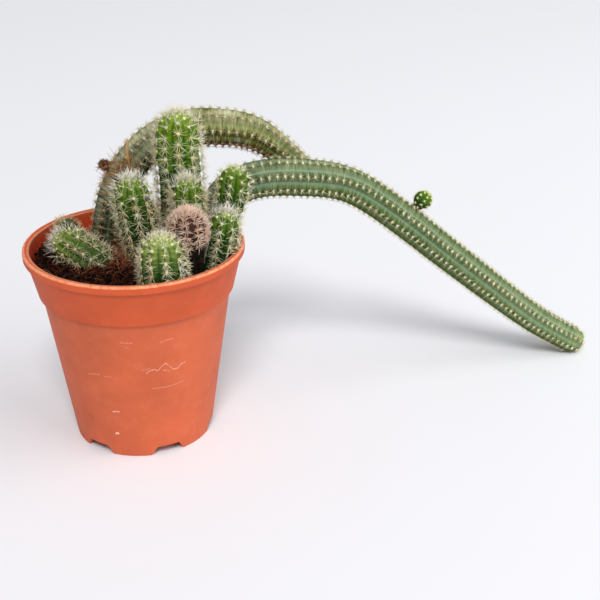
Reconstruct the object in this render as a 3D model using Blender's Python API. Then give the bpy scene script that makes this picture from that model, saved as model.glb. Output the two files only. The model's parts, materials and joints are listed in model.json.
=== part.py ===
"""Potted peanut cactus: a nursery pot, its soil and eleven ribbed stems.

Every size and place below is in millimetres, measured from the pot's axis at table level, with +X to the
right, -Y to the front and +Z up. A mesh turns to metres, and moves so that the whole plant's box is centred
on the origin, when it is made.
"""
import math
from collections import namedtuple

import bpy
import numpy as np
from mathutils import Quaternion, Vector

MM = 0.001
POT_AXIS_X = -58.4
POT_AXIS_Y = -10.4
CLEARANCE = 0.32
SMOOTH_ANGLE = 50.0

# Nursery pot, 65 mm across: a rolled lip, a collar with a step under it, and a plain tapering body
POT_HEIGHT = 61.0
LIP_RADIUS = 32.5
LIP_DROP = 2.6
LIP_EASE = 0.3
LIP_BEVEL = 0.8
COLLAR_TOP_RADIUS = 31.5
COLLAR_FOOT_RADIUS = 29.0
STEP_HEIGHT = 47.2
STEP_CHAMFER = 0.4
STEP_INSIDE_DROP = 0.6
BODY_TOP_RADIUS = 27.9
BASE_RADIUS = 20.9
FOOT_CHAMFER = 0.2
FOOT_RISE = 0.5
POT_WALL = 1.0
FLOOR_UNDERSIDE = 3.3
FLOOR_THICKNESS = 1.2
POT_SEGMENTS = 48
DRAIN_RADIUS = 1.7
DRAIN_RING_RADIUS = 13.0
DRAIN_SIDES = 8

# Notches in the foot, which let water run out, turned so that one stands right of the front. A notch is widest
# at the table.
NOTCH_COUNT = 6
NOTCH_HEIGHT = 3.0
NOTCH_WIDTH = 10.2
NOTCH_TOP_WIDTH = 7.0
NOTCH_FROM_FRONT = 26.0
NOTCH_CUT_DEPTH = 8.0
NOTCH_RING_RISE = 0.8

# Soil: its level, its slope towards the front and the mound between the stems
SOIL_LEVEL = 54.3
SOIL_SLOPE = 0.05
MOUND_HEIGHT = 2.4
MOUND_WIDTH = 8.0
MOUND_X = -4.0
MOUND_Y = 0.0
LUMP_HEIGHT = 0.45
SOIL_SEGMENTS = 24
SOIL_RINGS = 6
SOIL_SHRINK = 0.15
HOLE_SIDES = 11
HOLE_SPACING = 5.0
HOLE_RISE = 1.0

# Skin of a stem: a crest and a groove for each rib, and bumps along the crest where the areoles sit
GROOVE_SHARE = 0.18
BUMP_HEIGHT = 0.45
DOME_ANGLES = (28.0, 54.0, 76.0)
FADE_START = 2.0
FADE_LENGTH = 10.0
ROUTE_SAMPLES = 400

# Spines: three-sided needles with their roots sunk into the skin, a share of the way off the crest's line.
# A lean is along the crest or across it, and a crown's angles are its first one and how far they spread.
SPINE_RADIUS = 0.17
SPINE_ROOT = 0.8
SPINE_GAP = 0.6
SPINE_START = 0.15
SPINE_SAMPLES = 5
SPINE_LENGTHS = (0.8, 1.15)
ROOT_ACROSS = 0.34
ROOT_ALONG = 0.2
LEAN_ALONG = 0.65
LEAN_ACROSS = 0.33
SPLAY = 0.25
CROWN_ANGLES = (14.0, 58.0)
CROWN_SINK = 0.3
CROWN_LENGTHS = (0.75, 1.1)
AREOLE_RISE = 1.0
RIM_KEEP_OUT = 1.2
SEED = 11

# Buds: each is a short stem with a slim neck. A shape row is a distance back from the head's centre and the
# width there, both as shares of the head's radius.
BUD_RIBS = 6
BUD_PITCH = 0.9
BUD_FOOT = 0.45
BUD_SHAPE = ((0.95, 0.5), (0.5, 0.85), (0.0, 1.0))
BUD_SPINES = 9
BUD_SPINE_SHARE = 0.6

GREEN = (0.16, 0.33, 0.09)
GREY_GREEN = (0.25, 0.36, 0.20)
OLD_GREEN = (0.27, 0.30, 0.18)
BROWN_PINK = (0.33, 0.20, 0.14)
TERRACOTTA = (0.63, 0.15, 0.07)
PEAT = (0.05, 0.028, 0.018)

# A route row is the centre-line's x, y and z and the radius out to the rib crests. A bud row is its centre
# and radius. The turn, in degrees, starts the ribs from the front. Spines is how many needles stand along
# the stem, crown is how many stand round its growing tip, and spine is their length.
Stem = namedtuple("Stem", "name ribs turn pitch spines crown spine colour route bud")

STEMS = (
    Stem("stem_long", 8, 5.0, 4.8, 104, 8, 1.9, GREY_GREEN, (
        (18.0, 11.2, 44.0, 4.0), (20.0, 12.5, 54.0, 4.6), (22.3, 13.0, 62.5, 5.05), (26.2, 14.2, 70.2, 5.45),
        (33.6, 16.2, 74.0, 5.6), (48.1, 20.4, 73.8, 5.7), (63.3, 25.3, 69.8, 5.5), (73.9, 27.9, 62.8, 5.45),
        (90.8, 33.0, 47.9, 5.4), (116.2, 40.2, 25.3, 5.1), (131.5, 44.3, 12.7, 4.8),
        (143.4, 47.6, 4.65, 4.65)),
        (87.7, 31.0, 62.5, 2.9)),
    Stem("stem_arching", 8, 20.0, 4.8, 74, 8, 2.4, OLD_GREEN, (
        (-7.5, 8.4, 44.0, 4.2), (-8.6, 8.9, 54.0, 4.7), (-8.7, 9.3, 61.0, 5.1), (-7.5, 10.0, 67.5, 5.3),
        (-4.0, 12.4, 76.6, 5.4), (3.4, 18.0, 84.5, 5.6), (14.2, 22.4, 88.7, 5.7), (24.5, 25.0, 88.3, 5.6),
        (33.5, 27.5, 86.0, 5.2), (40.6, 29.8, 81.0, 4.6), (49.0, 32.8, 72.0, 4.3)),
        (-9.0, 11.8, 80.6, 1.5)),
    Stem("stem_tall", 10, -9.0, 4.4, 50, 12, 2.8, GREEN, (
        (8.6, 9.4, 44.0, 4.0), (9.4, 9.5, 54.0, 4.5), (11.6, 9.3, 62.0, 5.4), (13.1, 8.9, 70.0, 6.3),
        (13.4, 8.8, 78.0, 6.5), (13.1, 8.8, 86.0, 6.4), (13.1, 8.8, 91.4, 6.15)), None),
    Stem("stem_left", 9, -14.0, 4.2, 34, 14, 2.6, GREEN, (
        (5.4, -1.6, 44.0, 4.0), (4.4, -1.8, 54.0, 4.4), (3.0, -2.0, 61.0, 5.0), (1.8, -2.2, 68.0, 5.3),
        (0.8, -2.3, 74.0, 5.15), (0.5, -2.4, 76.3, 5.1)), None),
    Stem("stem_middle", 8, 10.0, 4.0, 20, 14, 2.5, GREEN, (
        (15.4, 0.0, 44.0, 3.3), (15.9, -0.4, 54.0, 3.6), (16.4, -1.4, 62.0, 4.2), (16.6, -1.9, 70.0, 4.35),
        (16.6, -2.1, 76.8, 4.3)), None),
    Stem("stem_bristly", 9, 0.0, 3.6, 34, 26, 1.9, BROWN_PINK, (
        (17.8, -11.4, 44.0, 2.9), (18.0, -11.5, 54.0, 3.1), (18.0, -11.8, 61.0, 3.4),
        (17.4, -12.1, 66.5, 4.4), (17.1, -12.2, 70.0, 4.95)), None),
    Stem("stem_front", 9, -17.0, 3.8, 24, 14, 2.5, GREEN, (
        (11.4, -17.6, 44.0, 4.5), (10.9, -19.0, 53.0, 5.9), (10.6, -19.5, 58.0, 6.2),
        (10.4, -19.9, 62.0, 6.15), (10.3, -20.1, 65.2, 5.9)), None),
    Stem("stem_right", 8, 12.0, 3.8, 22, 14, 2.3, GREEN, (
        (21.2, -4.8, 44.0, 3.2), (23.6, -5.7, 54.0, 3.9), (25.2, -6.0, 60.0, 4.3), (26.6, -6.4, 66.0, 4.3),
        (27.1, -6.5, 68.6, 4.2)), None),
    Stem("stem_right_rear", 8, 11.0, 4.2, 28, 10, 2.2, GREEN, (
        (22.3, 3.7, 44.0, 3.1), (23.8, 3.5, 54.0, 3.6), (25.4, 3.5, 62.0, 4.1), (27.4, 3.7, 69.0, 4.3),
        (28.9, 3.9, 75.0, 4.4), (29.4, 4.0, 78.3, 4.3)), None),
    Stem("stem_lying", 9, 20.0, 3.8, 20, 14, 2.6, GREEN, (
        (-3.6, -3.0, 45.0, 3.9), (-6.2, -2.6, 50.5, 4.5), (-10.0, -2.2, 54.4, 4.95), (-14.0, -1.8, 57.4, 5.1),
        (-18.6, -1.2, 60.2, 5.0)), None),
    Stem("stem_small", 7, 0.0, 3.6, 8, 8, 1.8, OLD_GREEN, (
        (-18.2, 10.0, 46.0, 2.4), (-18.5, 10.2, 53.0, 2.7), (-19.2, 10.4, 57.5, 3.2),
        (-21.6, 10.4, 60.8, 3.35)), None),
)


def clear_scene():
    """Remove every object that the file opened with."""
    for item in list(bpy.data.objects):
        bpy.data.objects.remove(item)


def place(points):
    """Turn millimetres from the pot's axis into metres in the plant's own frame."""
    return (np.asarray(points, float) + (POT_AXIS_X, POT_AXIS_Y, 0.0)) * MM


def finish_material(name, colour, roughness):
    """One Principled material in a plain colour."""
    material = bpy.data.materials.new(name)
    material.use_nodes = True
    shader = material.node_tree.nodes["Principled BSDF"]
    shader.inputs["Base Color"].default_value = (*colour, 1.0)
    shader.inputs["Roughness"].default_value = roughness
    shader.inputs["Metallic"].default_value = 0.0
    return material


def mesh_object(name, points, faces):
    """Make an object in the scene from points in millimetres."""
    mesh = bpy.data.meshes.new(name)
    mesh.from_pydata(place(points).tolist(), [], faces)
    mesh.validate()
    made = bpy.data.objects.new(name, mesh)
    bpy.context.scene.collection.objects.link(made)
    return made


def smooth(mesh, degrees):
    """Shade a mesh round, with its sharper edges kept."""
    mesh.shade_smooth()
    mesh.set_sharp_from_angle(angle=math.radians(degrees))


def hide_cutter(cutter):
    """Keep a cutter out of the model."""
    cutter.hide_render = True
    cutter.display_type = "WIRE"


def cut(target, cutter):
    """Cut one object out of another with a live Boolean."""
    hide_cutter(cutter)
    modifier = target.modifiers.new("cut " + cutter.name, "BOOLEAN")
    modifier.operation = "DIFFERENCE"
    modifier.object = cutter
    modifier.solver = "EXACT"


def wall_radius(height):
    """Outer radius of the pot's wall at a height, without its lip."""
    if height >= STEP_HEIGHT:
        share = (height - STEP_HEIGHT) / (POT_HEIGHT - LIP_DROP - STEP_HEIGHT)
        return COLLAR_FOOT_RADIUS + share * (COLLAR_TOP_RADIUS - COLLAR_FOOT_RADIUS)
    return BASE_RADIUS + height / STEP_HEIGHT * (BODY_TOP_RADIUS - BASE_RADIUS)


def pot_profile():
    """Radius and height of the pot's section: floor, up the inside, over the lip, down the outside, foot."""
    lip_foot = POT_HEIGHT - LIP_DROP
    floor_top = FLOOR_UNDERSIDE + FLOOR_THICKNESS
    return (
        (DRAIN_RADIUS, floor_top),
        (wall_radius(floor_top) - POT_WALL, floor_top),
        (BODY_TOP_RADIUS - POT_WALL, STEP_HEIGHT - STEP_INSIDE_DROP),
        (COLLAR_FOOT_RADIUS - POT_WALL, STEP_HEIGHT + STEP_CHAMFER),
        (COLLAR_TOP_RADIUS - POT_WALL, lip_foot),
        (COLLAR_TOP_RADIUS - LIP_EASE, POT_HEIGHT - LIP_EASE),
        (COLLAR_TOP_RADIUS + LIP_EASE, POT_HEIGHT),
        (LIP_RADIUS, POT_HEIGHT - LIP_BEVEL),
        (LIP_RADIUS - LIP_EASE, lip_foot + LIP_EASE),
        (COLLAR_TOP_RADIUS, lip_foot),
        (COLLAR_FOOT_RADIUS, STEP_HEIGHT + STEP_CHAMFER),
        (COLLAR_FOOT_RADIUS - STEP_CHAMFER, STEP_HEIGHT),
        (BODY_TOP_RADIUS, STEP_HEIGHT - FOOT_CHAMFER),
        (wall_radius(NOTCH_HEIGHT + NOTCH_RING_RISE), NOTCH_HEIGHT + NOTCH_RING_RISE),
        (BASE_RADIUS + FOOT_CHAMFER, FOOT_RISE),
        (BASE_RADIUS - FOOT_CHAMFER, 0.0),
        (BASE_RADIUS - POT_WALL, 0.0),
        (wall_radius(FLOOR_UNDERSIDE) - POT_WALL, FLOOR_UNDERSIDE),
        (DRAIN_RADIUS, FLOOR_UNDERSIDE),
    )


def notch_angle(index):
    """Where a notch, and the drain hole in line with it, stands round the pot."""
    return math.radians(-90.0 + NOTCH_FROM_FRONT + index * 360.0 / NOTCH_COUNT)


def make_pot():
    """Turn the pot's section round its axis, then cut the foot's notches and the floor's drain holes."""
    profile = pot_profile()
    points = [(radius, 0.0, height) for radius, height in profile]
    mesh = bpy.data.meshes.new("pot")
    loop = [(i, (i + 1) % len(points)) for i in range(len(points))]
    mesh.from_pydata([Vector(point) * MM for point in points], loop, [])
    pot = bpy.data.objects.new("pot", mesh)
    pot.location = place((0.0, 0.0, 0.0))
    bpy.context.scene.collection.objects.link(pot)
    turned = pot.modifiers.new("turned", "SCREW")
    turned.axis = "Z"
    turned.angle = math.tau
    turned.steps = POT_SEGMENTS
    turned.render_steps = POT_SEGMENTS
    turned.use_merge_vertices = True
    turned.merge_threshold = 0.00001
    turned.use_smooth_shade = True
    mesh.materials.append(finish_material("pot", TERRACOTTA, 0.6))

    middle = BASE_RADIUS - POT_WALL / 2
    for index in range(NOTCH_COUNT):
        angle = notch_angle(index)
        bpy.ops.mesh.primitive_cube_add(size=1.0)
        notch = bpy.context.object
        notch.name = "notch_%d" % index
        for corner in notch.data.vertices:
            corner.co.y *= 1.0 - 2.0 * corner.co.z * (1.0 - NOTCH_TOP_WIDTH / NOTCH_WIDTH)
        notch.scale = (NOTCH_CUT_DEPTH * MM, NOTCH_WIDTH * MM, 2.0 * NOTCH_HEIGHT * MM)
        notch.rotation_euler = (0.0, 0.0, angle)
        notch.location = place((middle * math.cos(angle), middle * math.sin(angle), 0.0))
        cut(pot, notch)
    for index in range(NOTCH_COUNT):
        angle = notch_angle(index)
        bpy.ops.mesh.primitive_cylinder_add(
            vertices=DRAIN_SIDES, radius=DRAIN_RADIUS * MM, depth=4.0 * FLOOR_THICKNESS * MM)
        drain = bpy.context.object
        drain.name = "drain_%d" % index
        across = DRAIN_RING_RADIUS
        drain.location = place((across * math.cos(angle), across * math.sin(angle), FLOOR_UNDERSIDE))
        cut(pot, drain)
    return pot


def spline(rows, count):
    """Natural cubic spline through the rows, read at evenly spaced lengths of its chords."""
    rows = np.asarray(rows, float)
    chords = np.linalg.norm(np.diff(rows[:, :3], axis=0), axis=1)
    knots = np.concatenate(([0.0], np.cumsum(chords)))
    size = len(rows)
    system = np.eye(size)
    jumps = np.zeros_like(rows)
    for i in range(1, size - 1):
        system[i, i - 1:i + 2] = chords[i - 1], 2.0 * (chords[i - 1] + chords[i]), chords[i]
        jumps[i] = 6.0 * ((rows[i + 1] - rows[i]) / chords[i] - (rows[i] - rows[i - 1]) / chords[i - 1])
    bends = np.linalg.solve(system, jumps)
    along = np.linspace(0.0, knots[-1], count)
    span = np.clip(np.searchsorted(knots, along, side="right") - 1, 0, size - 2)
    length = chords[span][:, None]
    before = (knots[span + 1] - along)[:, None] / length
    after = 1.0 - before
    sag = (before ** 3 - before) * bends[span] + (after ** 3 - after) * bends[span + 1]
    return before * rows[span] + after * rows[span + 1] + sag * length ** 2 / 6.0


def read_route(route, spacing):
    """Centre-line rows about a spacing apart, with the tangent, side and up direction at each."""
    fine = spline(route, ROUTE_SAMPLES)
    steps = np.linalg.norm(np.diff(fine[:, :3], axis=0), axis=1)
    length = np.concatenate(([0.0], np.cumsum(steps)))
    count = int(round(length[-1] / spacing)) + 1
    wanted = np.linspace(0.0, length[-1], count)
    rows = np.stack([np.interp(wanted, length, fine[:, k]) for k in range(4)], axis=1)
    tangents = np.gradient(rows[:, :3], axis=0)
    tangents /= np.linalg.norm(tangents, axis=1)[:, None]
    sides = np.zeros_like(tangents)
    side = np.array((0.0, -1.0, 0.0))
    for i, tangent in enumerate(tangents):
        side = side - tangent * (side @ tangent)
        side /= np.linalg.norm(side)
        sides[i] = side
    return rows, wanted, tangents, sides, np.cross(sides, tangents)


def stem_rings(stem, spacing):
    """Centre, radius, directions, groove share and bump share of each ring from the base to the dome."""
    rows, along, tangents, sides, ups = read_route(stem.route, spacing)
    dome = np.radians(DOME_ANGLES)
    tip_radius = rows[-1, 3]
    centres = np.concatenate((rows[:, :3], rows[-1, :3] + np.sin(dome)[:, None] * tip_radius * tangents[-1]))
    radii = np.concatenate((rows[:, 3], np.cos(dome) * tip_radius))
    last = np.concatenate((np.arange(len(rows)), np.full(len(dome), len(rows) - 1)))
    fade = np.clip((along - FADE_START) / FADE_LENGTH, 0.0, 1.0)
    fade = np.concatenate((fade, np.cos(dome)))
    pole = rows[-1, :3] + tip_radius * tangents[-1]
    return centres, radii, sides[last], ups[last], fade, pole


def skin(stem, spacing):
    """Points of a stem's skin on a grid of rings and corners, with the pole and the base's centre.

    A corner's distance from the centre-line is the radius at a rib's crest and the radius less the groove's
    share in a groove. Along a crest it is larger at every other ring, where an areole sits, and
    neighbouring ribs take turns.
    """
    centres, radii, sides, ups, fade, pole = stem_rings(stem, spacing)
    corner = np.arange(2 * stem.ribs)
    angle = math.radians(stem.turn) + corner * math.pi / stem.ribs
    out = np.cos(angle)[None, :, None] * sides[:, None] + np.sin(angle)[None, :, None] * ups[:, None]
    is_groove = corner % 2
    ring = np.arange(len(radii))
    rest = (ring[:, None] + corner[None, :] // 2) % 2
    distance = radii[:, None] * (1.0 - is_groove * GROOVE_SHARE * fade[:, None])
    distance = distance - (1 - is_groove) * rest * BUMP_HEIGHT * fade[:, None]
    grid = centres[:, None] + distance[:, :, None] * out
    grid[:, :, 2] = np.maximum(grid[:, :, 2], 0.0)
    return grid, pole, centres[0], out


def grid_faces(rings, corners):
    """Quads between rings, a fan at the first ring and a fan at the last."""
    faces = []
    for i in range(rings - 1):
        for j in range(corners):
            after = (j + 1) % corners
            near, far = i * corners, (i + 1) * corners
            faces.append((near + j, far + j, far + after, near + after))
    pole = rings * corners
    top = (rings - 1) * corners
    for j in range(corners):
        after = (j + 1) % corners
        faces.append((top + j, pole, top + after))
        faces.append((after, pole + 1, j))
    return faces


def skin_object(stem, spacing):
    """The stem's skin as a closed mesh."""
    grid, pole, base, _ = skin(stem, spacing)
    rings, corners = grid.shape[:2]
    points = np.concatenate((grid.reshape(-1, 3), [pole, base]))
    return mesh_object(stem.name, points, grid_faces(rings, corners))


def soil_height(x, y):
    """Height of the soil's surface: a level, a slope, one mound and soft lumps."""
    mound = np.exp(-((x - MOUND_X) ** 2 + (y - MOUND_Y) ** 2) / (2.0 * MOUND_WIDTH ** 2))
    lumps = np.sin(0.55 * x + 1.3) * np.sin(0.62 * y + 0.4) + 0.6 * np.sin(0.31 * x - 0.83 * y)
    return SOIL_LEVEL + SOIL_SLOPE * y + MOUND_HEIGHT * mound + LUMP_HEIGHT * lumps


def round_tube(rows, tangents, sides, ups, growth):
    """A smooth closed tube round a centre-line, wider than it by a growth."""
    angle = np.arange(HOLE_SIDES) * math.tau / HOLE_SIDES
    out = np.cos(angle)[None, :, None] * sides[:, None] + np.sin(angle)[None, :, None] * ups[:, None]
    reach = (rows[:, 3] + growth) / math.cos(math.pi / HOLE_SIDES)
    centres = rows[:, :3].copy()
    centres[0] = centres[0] - growth * tangents[0]
    grid = centres[:, None] + reach[:, None, None] * out
    points = np.concatenate((grid.reshape(-1, 3), [centres[-1], centres[0]]))
    return points, grid_faces(len(rows), HOLE_SIDES)


def make_soil():
    """Soil that fills the pot to just under its lip, with a plain hole for each stem."""
    floor = FLOOR_UNDERSIDE + FLOOR_THICKNESS + CLEARANCE
    turns = np.arange(SOIL_SEGMENTS) * math.tau / SOIL_SEGMENTS
    around = np.stack((np.cos(turns), np.sin(turns)), axis=1)
    inside = POT_WALL + CLEARANCE + SOIL_SHRINK
    step_foot = STEP_HEIGHT - STEP_INSIDE_DROP - CLEARANCE
    step_top = STEP_HEIGHT + 2.0 * STEP_CHAMFER
    wall = [(wall_radius(height) - inside, height) for height in (floor, step_foot, step_top)]
    rings = [np.column_stack((around * radius, np.full(SOIL_SEGMENTS, height))) for radius, height in wall]
    edge = wall_radius(SOIL_LEVEL - SOIL_SLOPE * LIP_RADIUS) - inside
    for index in range(SOIL_RINGS):
        flat = around * edge * (1.0 - index / SOIL_RINGS)
        rings.append(np.column_stack((flat, soil_height(flat[:, 0], flat[:, 1]))))
    centre = (0.0, 0.0, float(soil_height(0.0, 0.0)))
    points = np.concatenate((*rings, [centre, (0.0, 0.0, floor)]))
    faces = [face[::-1] for face in grid_faces(len(rings), SOIL_SEGMENTS)]
    soil = mesh_object("soil", points, faces)
    soil.data.materials.append(finish_material("soil", PEAT, 0.95))

    holes = bpy.data.collections.new("stem holes")
    bpy.context.scene.collection.children.link(holes)
    for stem in STEMS:
        rows, _, tangents, sides, ups = read_route(stem.route, HOLE_SPACING)
        bottom = int(np.argmax(rows[:, 2] - rows[:, 3] > SOIL_LEVEL + MOUND_HEIGHT + HOLE_RISE))
        last = len(rows) if bottom == 0 else bottom + 1
        tube = round_tube(rows[:last], tangents[:last], sides[:last], ups[:last], CLEARANCE)
        hole = mesh_object("hole for " + stem.name, *tube)
        bpy.context.scene.collection.objects.unlink(hole)
        holes.objects.link(hole)
    apply_collection(soil, holes, "DIFFERENCE", "EXACT")
    smooth(soil.data, SMOOTH_ANGLE)
    return soil


def apply_collection(target, collection, operation, solver):
    """Apply one Boolean with a collection, then remove the collection's objects."""
    modifier = target.modifiers.new("joined", "BOOLEAN")
    modifier.operation = operation
    modifier.operand_type = "COLLECTION"
    modifier.collection = collection
    modifier.solver = solver
    bpy.context.view_layer.update()
    evaluated = target.evaluated_get(bpy.context.evaluated_depsgraph_get())
    joined = bpy.data.meshes.new_from_object(evaluated)
    joined.name = target.name
    target.modifiers.remove(modifier)
    target.data = joined
    for item in list(collection.objects):
        bpy.data.objects.remove(item)
    bpy.data.collections.remove(collection)


def spine_object(root, direction, length):
    """A three-sided needle whose foot is sunk under its root point."""
    across = direction.orthogonal().normalized()
    foot = root - direction * SPINE_ROOT
    corners = [foot + Quaternion(direction, k * math.tau / 3) @ across * SPINE_RADIUS for k in range(3)]
    points = [tuple(corner) for corner in corners] + [tuple(root + direction * length)]
    return mesh_object("spine", points, [(0, 2, 1), (0, 1, 3), (1, 2, 3), (2, 0, 3)])


def stands_clear(samples, own, lines, neighbours):
    """True where a spine's sample points keep off other stems and their spines, the soil, rim and table."""
    height = samples[:, 2]
    reach = np.hypot(samples[:, 0], samples[:, 1])
    over_pot = reach < LIP_RADIUS + RIM_KEEP_OUT
    in_rim = over_pot & (reach > COLLAR_TOP_RADIUS - POT_WALL - RIM_KEEP_OUT)
    if height.min() < SPINE_RADIUS + SPINE_GAP or (in_rim & (height < POT_HEIGHT + RIM_KEEP_OUT)).any():
        return False
    if (over_pot & (height < soil_height(samples[:, 0], samples[:, 1]) + SPINE_GAP)).any():
        return False
    for name, rows in lines:
        if name != own:
            apart = np.linalg.norm(samples[:, None] - rows[None, :, :3], axis=2) - rows[None, :, 3]
            if apart.min() < SPINE_GAP:
                return False
    for name, points in neighbours:
        if name != own and np.linalg.norm(samples[:, None] - points[None], axis=2).min() < SPINE_GAP:
            return False
    return True


def areole_spines(stem, spacing, random, count):
    """Root, direction and length of spines shared out evenly over the areoles along the crests.

    A root lies a little off the crest, and a direction leans from straight out by a random share along the
    crest and across it.
    """
    grid, _, _, out = skin(stem, spacing)
    rings, corners = grid.shape[:2]
    body = rings - len(DOME_ANGLES)
    areoles = [(i, j) for i in range(1, body) for j in range(0, corners, 2) if (i + j // 2) % 2 == 0]
    low = SOIL_LEVEL + AREOLE_RISE
    areoles = [(i, j) for i, j in areoles if grid[i, j, 2] > low or np.hypot(*grid[i, j, :2]) > LIP_RADIUS]
    found = []
    for order, (i, j) in enumerate(areoles):
        share = (order + 1) * count // len(areoles) - order * count // len(areoles)
        for _ in range(share):
            side = 1 if random.random() < 0.5 else -1
            crest = grid[i, j]
            across = grid[i, (j + side) % corners] - crest
            along = grid[min(i + 1, rings - 1), j] - crest
            root = crest + ROOT_ACROSS * across + ROOT_ALONG * along
            lean, sway = random.uniform(-1.0, 1.0, 2)
            direction = out[i, j] + LEAN_ALONG * lean * along / np.linalg.norm(along)
            direction = direction + (SPLAY * side + LEAN_ACROSS * sway) * across / np.linalg.norm(across)
            found.append((root, direction, stem.spine * random.uniform(*SPINE_LENGTHS)))
    return found


def crown_spines(centre, radius, axis, count, length, random):
    """Root, direction and length of spines on a golden-angle spiral over a growing tip."""
    axis = Vector(axis).normalized()
    across = axis.orthogonal().normalized()
    found = []
    for k in range(count):
        polar = math.radians(CROWN_ANGLES[0] + CROWN_ANGLES[1] * (k + 0.5) / count)
        turn = k * math.pi * (3.0 - math.sqrt(5.0))
        around = Quaternion(axis, turn) @ across
        direction = axis * math.cos(polar) + around * math.sin(polar)
        root = Vector(centre) + direction * (radius - CROWN_SINK)
        found.append((np.array(root), np.array(direction), length * random.uniform(*CROWN_LENGTHS)))
    return found


def bud_stem(stem, rows):
    """A bud as a short stem of its own: a slim neck out of its parent's centre-line, then a round head."""
    centre = np.array(stem.bud[:3])
    radius = stem.bud[3]
    foot = rows[np.argmin(np.linalg.norm(rows[:, :3] - centre, axis=1)), :3]
    axis = (centre - foot) / np.linalg.norm(centre - foot)
    route = [(*foot, BUD_FOOT * radius)]
    route += [(*(centre - axis * back * radius), wide * radius) for back, wide in BUD_SHAPE]
    return stem._replace(name="bud", ribs=BUD_RIBS, pitch=BUD_PITCH * radius, route=tuple(route))


def make_stem(stem, lines, neighbours, random):
    """A ribbed skin with its bud and spines, joined by one union."""
    spacing = stem.pitch / 2.0
    body = skin_object(stem, spacing)
    body.data.materials.append(finish_material(stem.name, stem.colour, 0.6))
    repeats = bpy.data.collections.new("spines of " + stem.name)
    bpy.context.scene.collection.children.link(repeats)
    rows = read_route(stem.route, spacing)[0]
    tip = rows[-1, :3] - rows[-2, :3]
    wanted = areole_spines(stem, spacing, random, stem.spines)
    wanted += crown_spines(rows[-1, :3], rows[-1, 3], tip, stem.crown, stem.spine, random)
    parts = []
    if stem.bud:
        bud = bud_stem(stem, rows)
        parts.append(skin_object(bud, bud.pitch / 2.0))
        growth = np.array(bud.route[-1][:3]) - np.array(bud.route[0][:3])
        short = BUD_SPINE_SHARE * stem.spine
        wanted += crown_spines(stem.bud[:3], stem.bud[3], growth, BUD_SPINES, short, random)
    for root, direction, length in wanted:
        direction = direction / np.linalg.norm(direction)
        steps = np.linspace(SPINE_START, 1.0, SPINE_SAMPLES)[:, None] * length
        samples = root + steps * direction
        if stands_clear(samples, stem.name, lines, neighbours):
            neighbours.append((stem.name, samples))
            parts.append(spine_object(Vector(root), Vector(direction), length))
    for item in parts:
        bpy.context.scene.collection.objects.unlink(item)
        repeats.objects.link(item)
    apply_collection(body, repeats, "UNION", "MANIFOLD")
    smooth(body.data, SMOOTH_ANGLE)
    return body


def main():
    """Make the pot, the soil and the stems."""
    clear_scene()
    make_pot()
    make_soil()
    random = np.random.default_rng(SEED)
    lines = [(stem.name, read_route(stem.route, 1.0)[0]) for stem in STEMS]
    neighbours = []
    for stem in STEMS:
        make_stem(stem, lines, neighbours, random)


main()
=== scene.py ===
"""Potted peanut cactus: the fine surfaces, spines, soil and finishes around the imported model.

Every shape below is worked out in millimetres from the pot's axis at table level, with +X to the right, -Y to
the front and +Z up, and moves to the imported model's frame, in metres, when its mesh is made.
"""
import json
import math
from collections import namedtuple

import bmesh
import bpy
import numpy as np
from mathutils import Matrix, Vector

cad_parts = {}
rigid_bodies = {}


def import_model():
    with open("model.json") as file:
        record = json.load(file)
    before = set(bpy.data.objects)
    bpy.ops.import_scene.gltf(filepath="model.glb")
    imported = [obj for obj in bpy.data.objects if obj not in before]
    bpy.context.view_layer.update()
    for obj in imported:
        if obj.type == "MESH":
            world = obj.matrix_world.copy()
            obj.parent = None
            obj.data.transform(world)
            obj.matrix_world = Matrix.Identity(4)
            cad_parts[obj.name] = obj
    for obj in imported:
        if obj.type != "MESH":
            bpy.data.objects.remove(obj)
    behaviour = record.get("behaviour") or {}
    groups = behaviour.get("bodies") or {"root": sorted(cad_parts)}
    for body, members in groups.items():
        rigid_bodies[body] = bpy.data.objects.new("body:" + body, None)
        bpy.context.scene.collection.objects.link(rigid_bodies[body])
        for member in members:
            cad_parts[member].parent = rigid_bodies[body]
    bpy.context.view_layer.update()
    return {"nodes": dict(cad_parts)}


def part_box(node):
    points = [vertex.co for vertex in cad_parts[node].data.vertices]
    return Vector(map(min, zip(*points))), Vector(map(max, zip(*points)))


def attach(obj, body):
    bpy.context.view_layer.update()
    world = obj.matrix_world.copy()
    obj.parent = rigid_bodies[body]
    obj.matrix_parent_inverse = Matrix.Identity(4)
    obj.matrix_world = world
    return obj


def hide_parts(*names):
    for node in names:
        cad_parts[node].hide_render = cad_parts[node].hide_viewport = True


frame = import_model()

bl_info = {
    "name": "Potted Peanut Cactus",
    "version": (1, 0, 0),
    "blender": (4, 5, 0),
    "location": "3D View > Sidebar > Cactus",
    "description": "Builds a potted peanut cactus with fine ribs, spines and soil around a packed model",
    "category": "Add Mesh",
}

MM = 0.001
POT_LOW, POT_HIGH = (np.array(corner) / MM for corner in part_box("pot"))
POT_AXIS = np.array(((POT_LOW[0] + POT_HIGH[0]) / 2, (POT_LOW[1] + POT_HIGH[1]) / 2, 0.0))
POT_HEIGHT = float(POT_HIGH[2] - POT_LOW[2])
LIP_RADIUS = float(POT_HIGH[0] - POT_LOW[0]) / 2
SEED = 23

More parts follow.
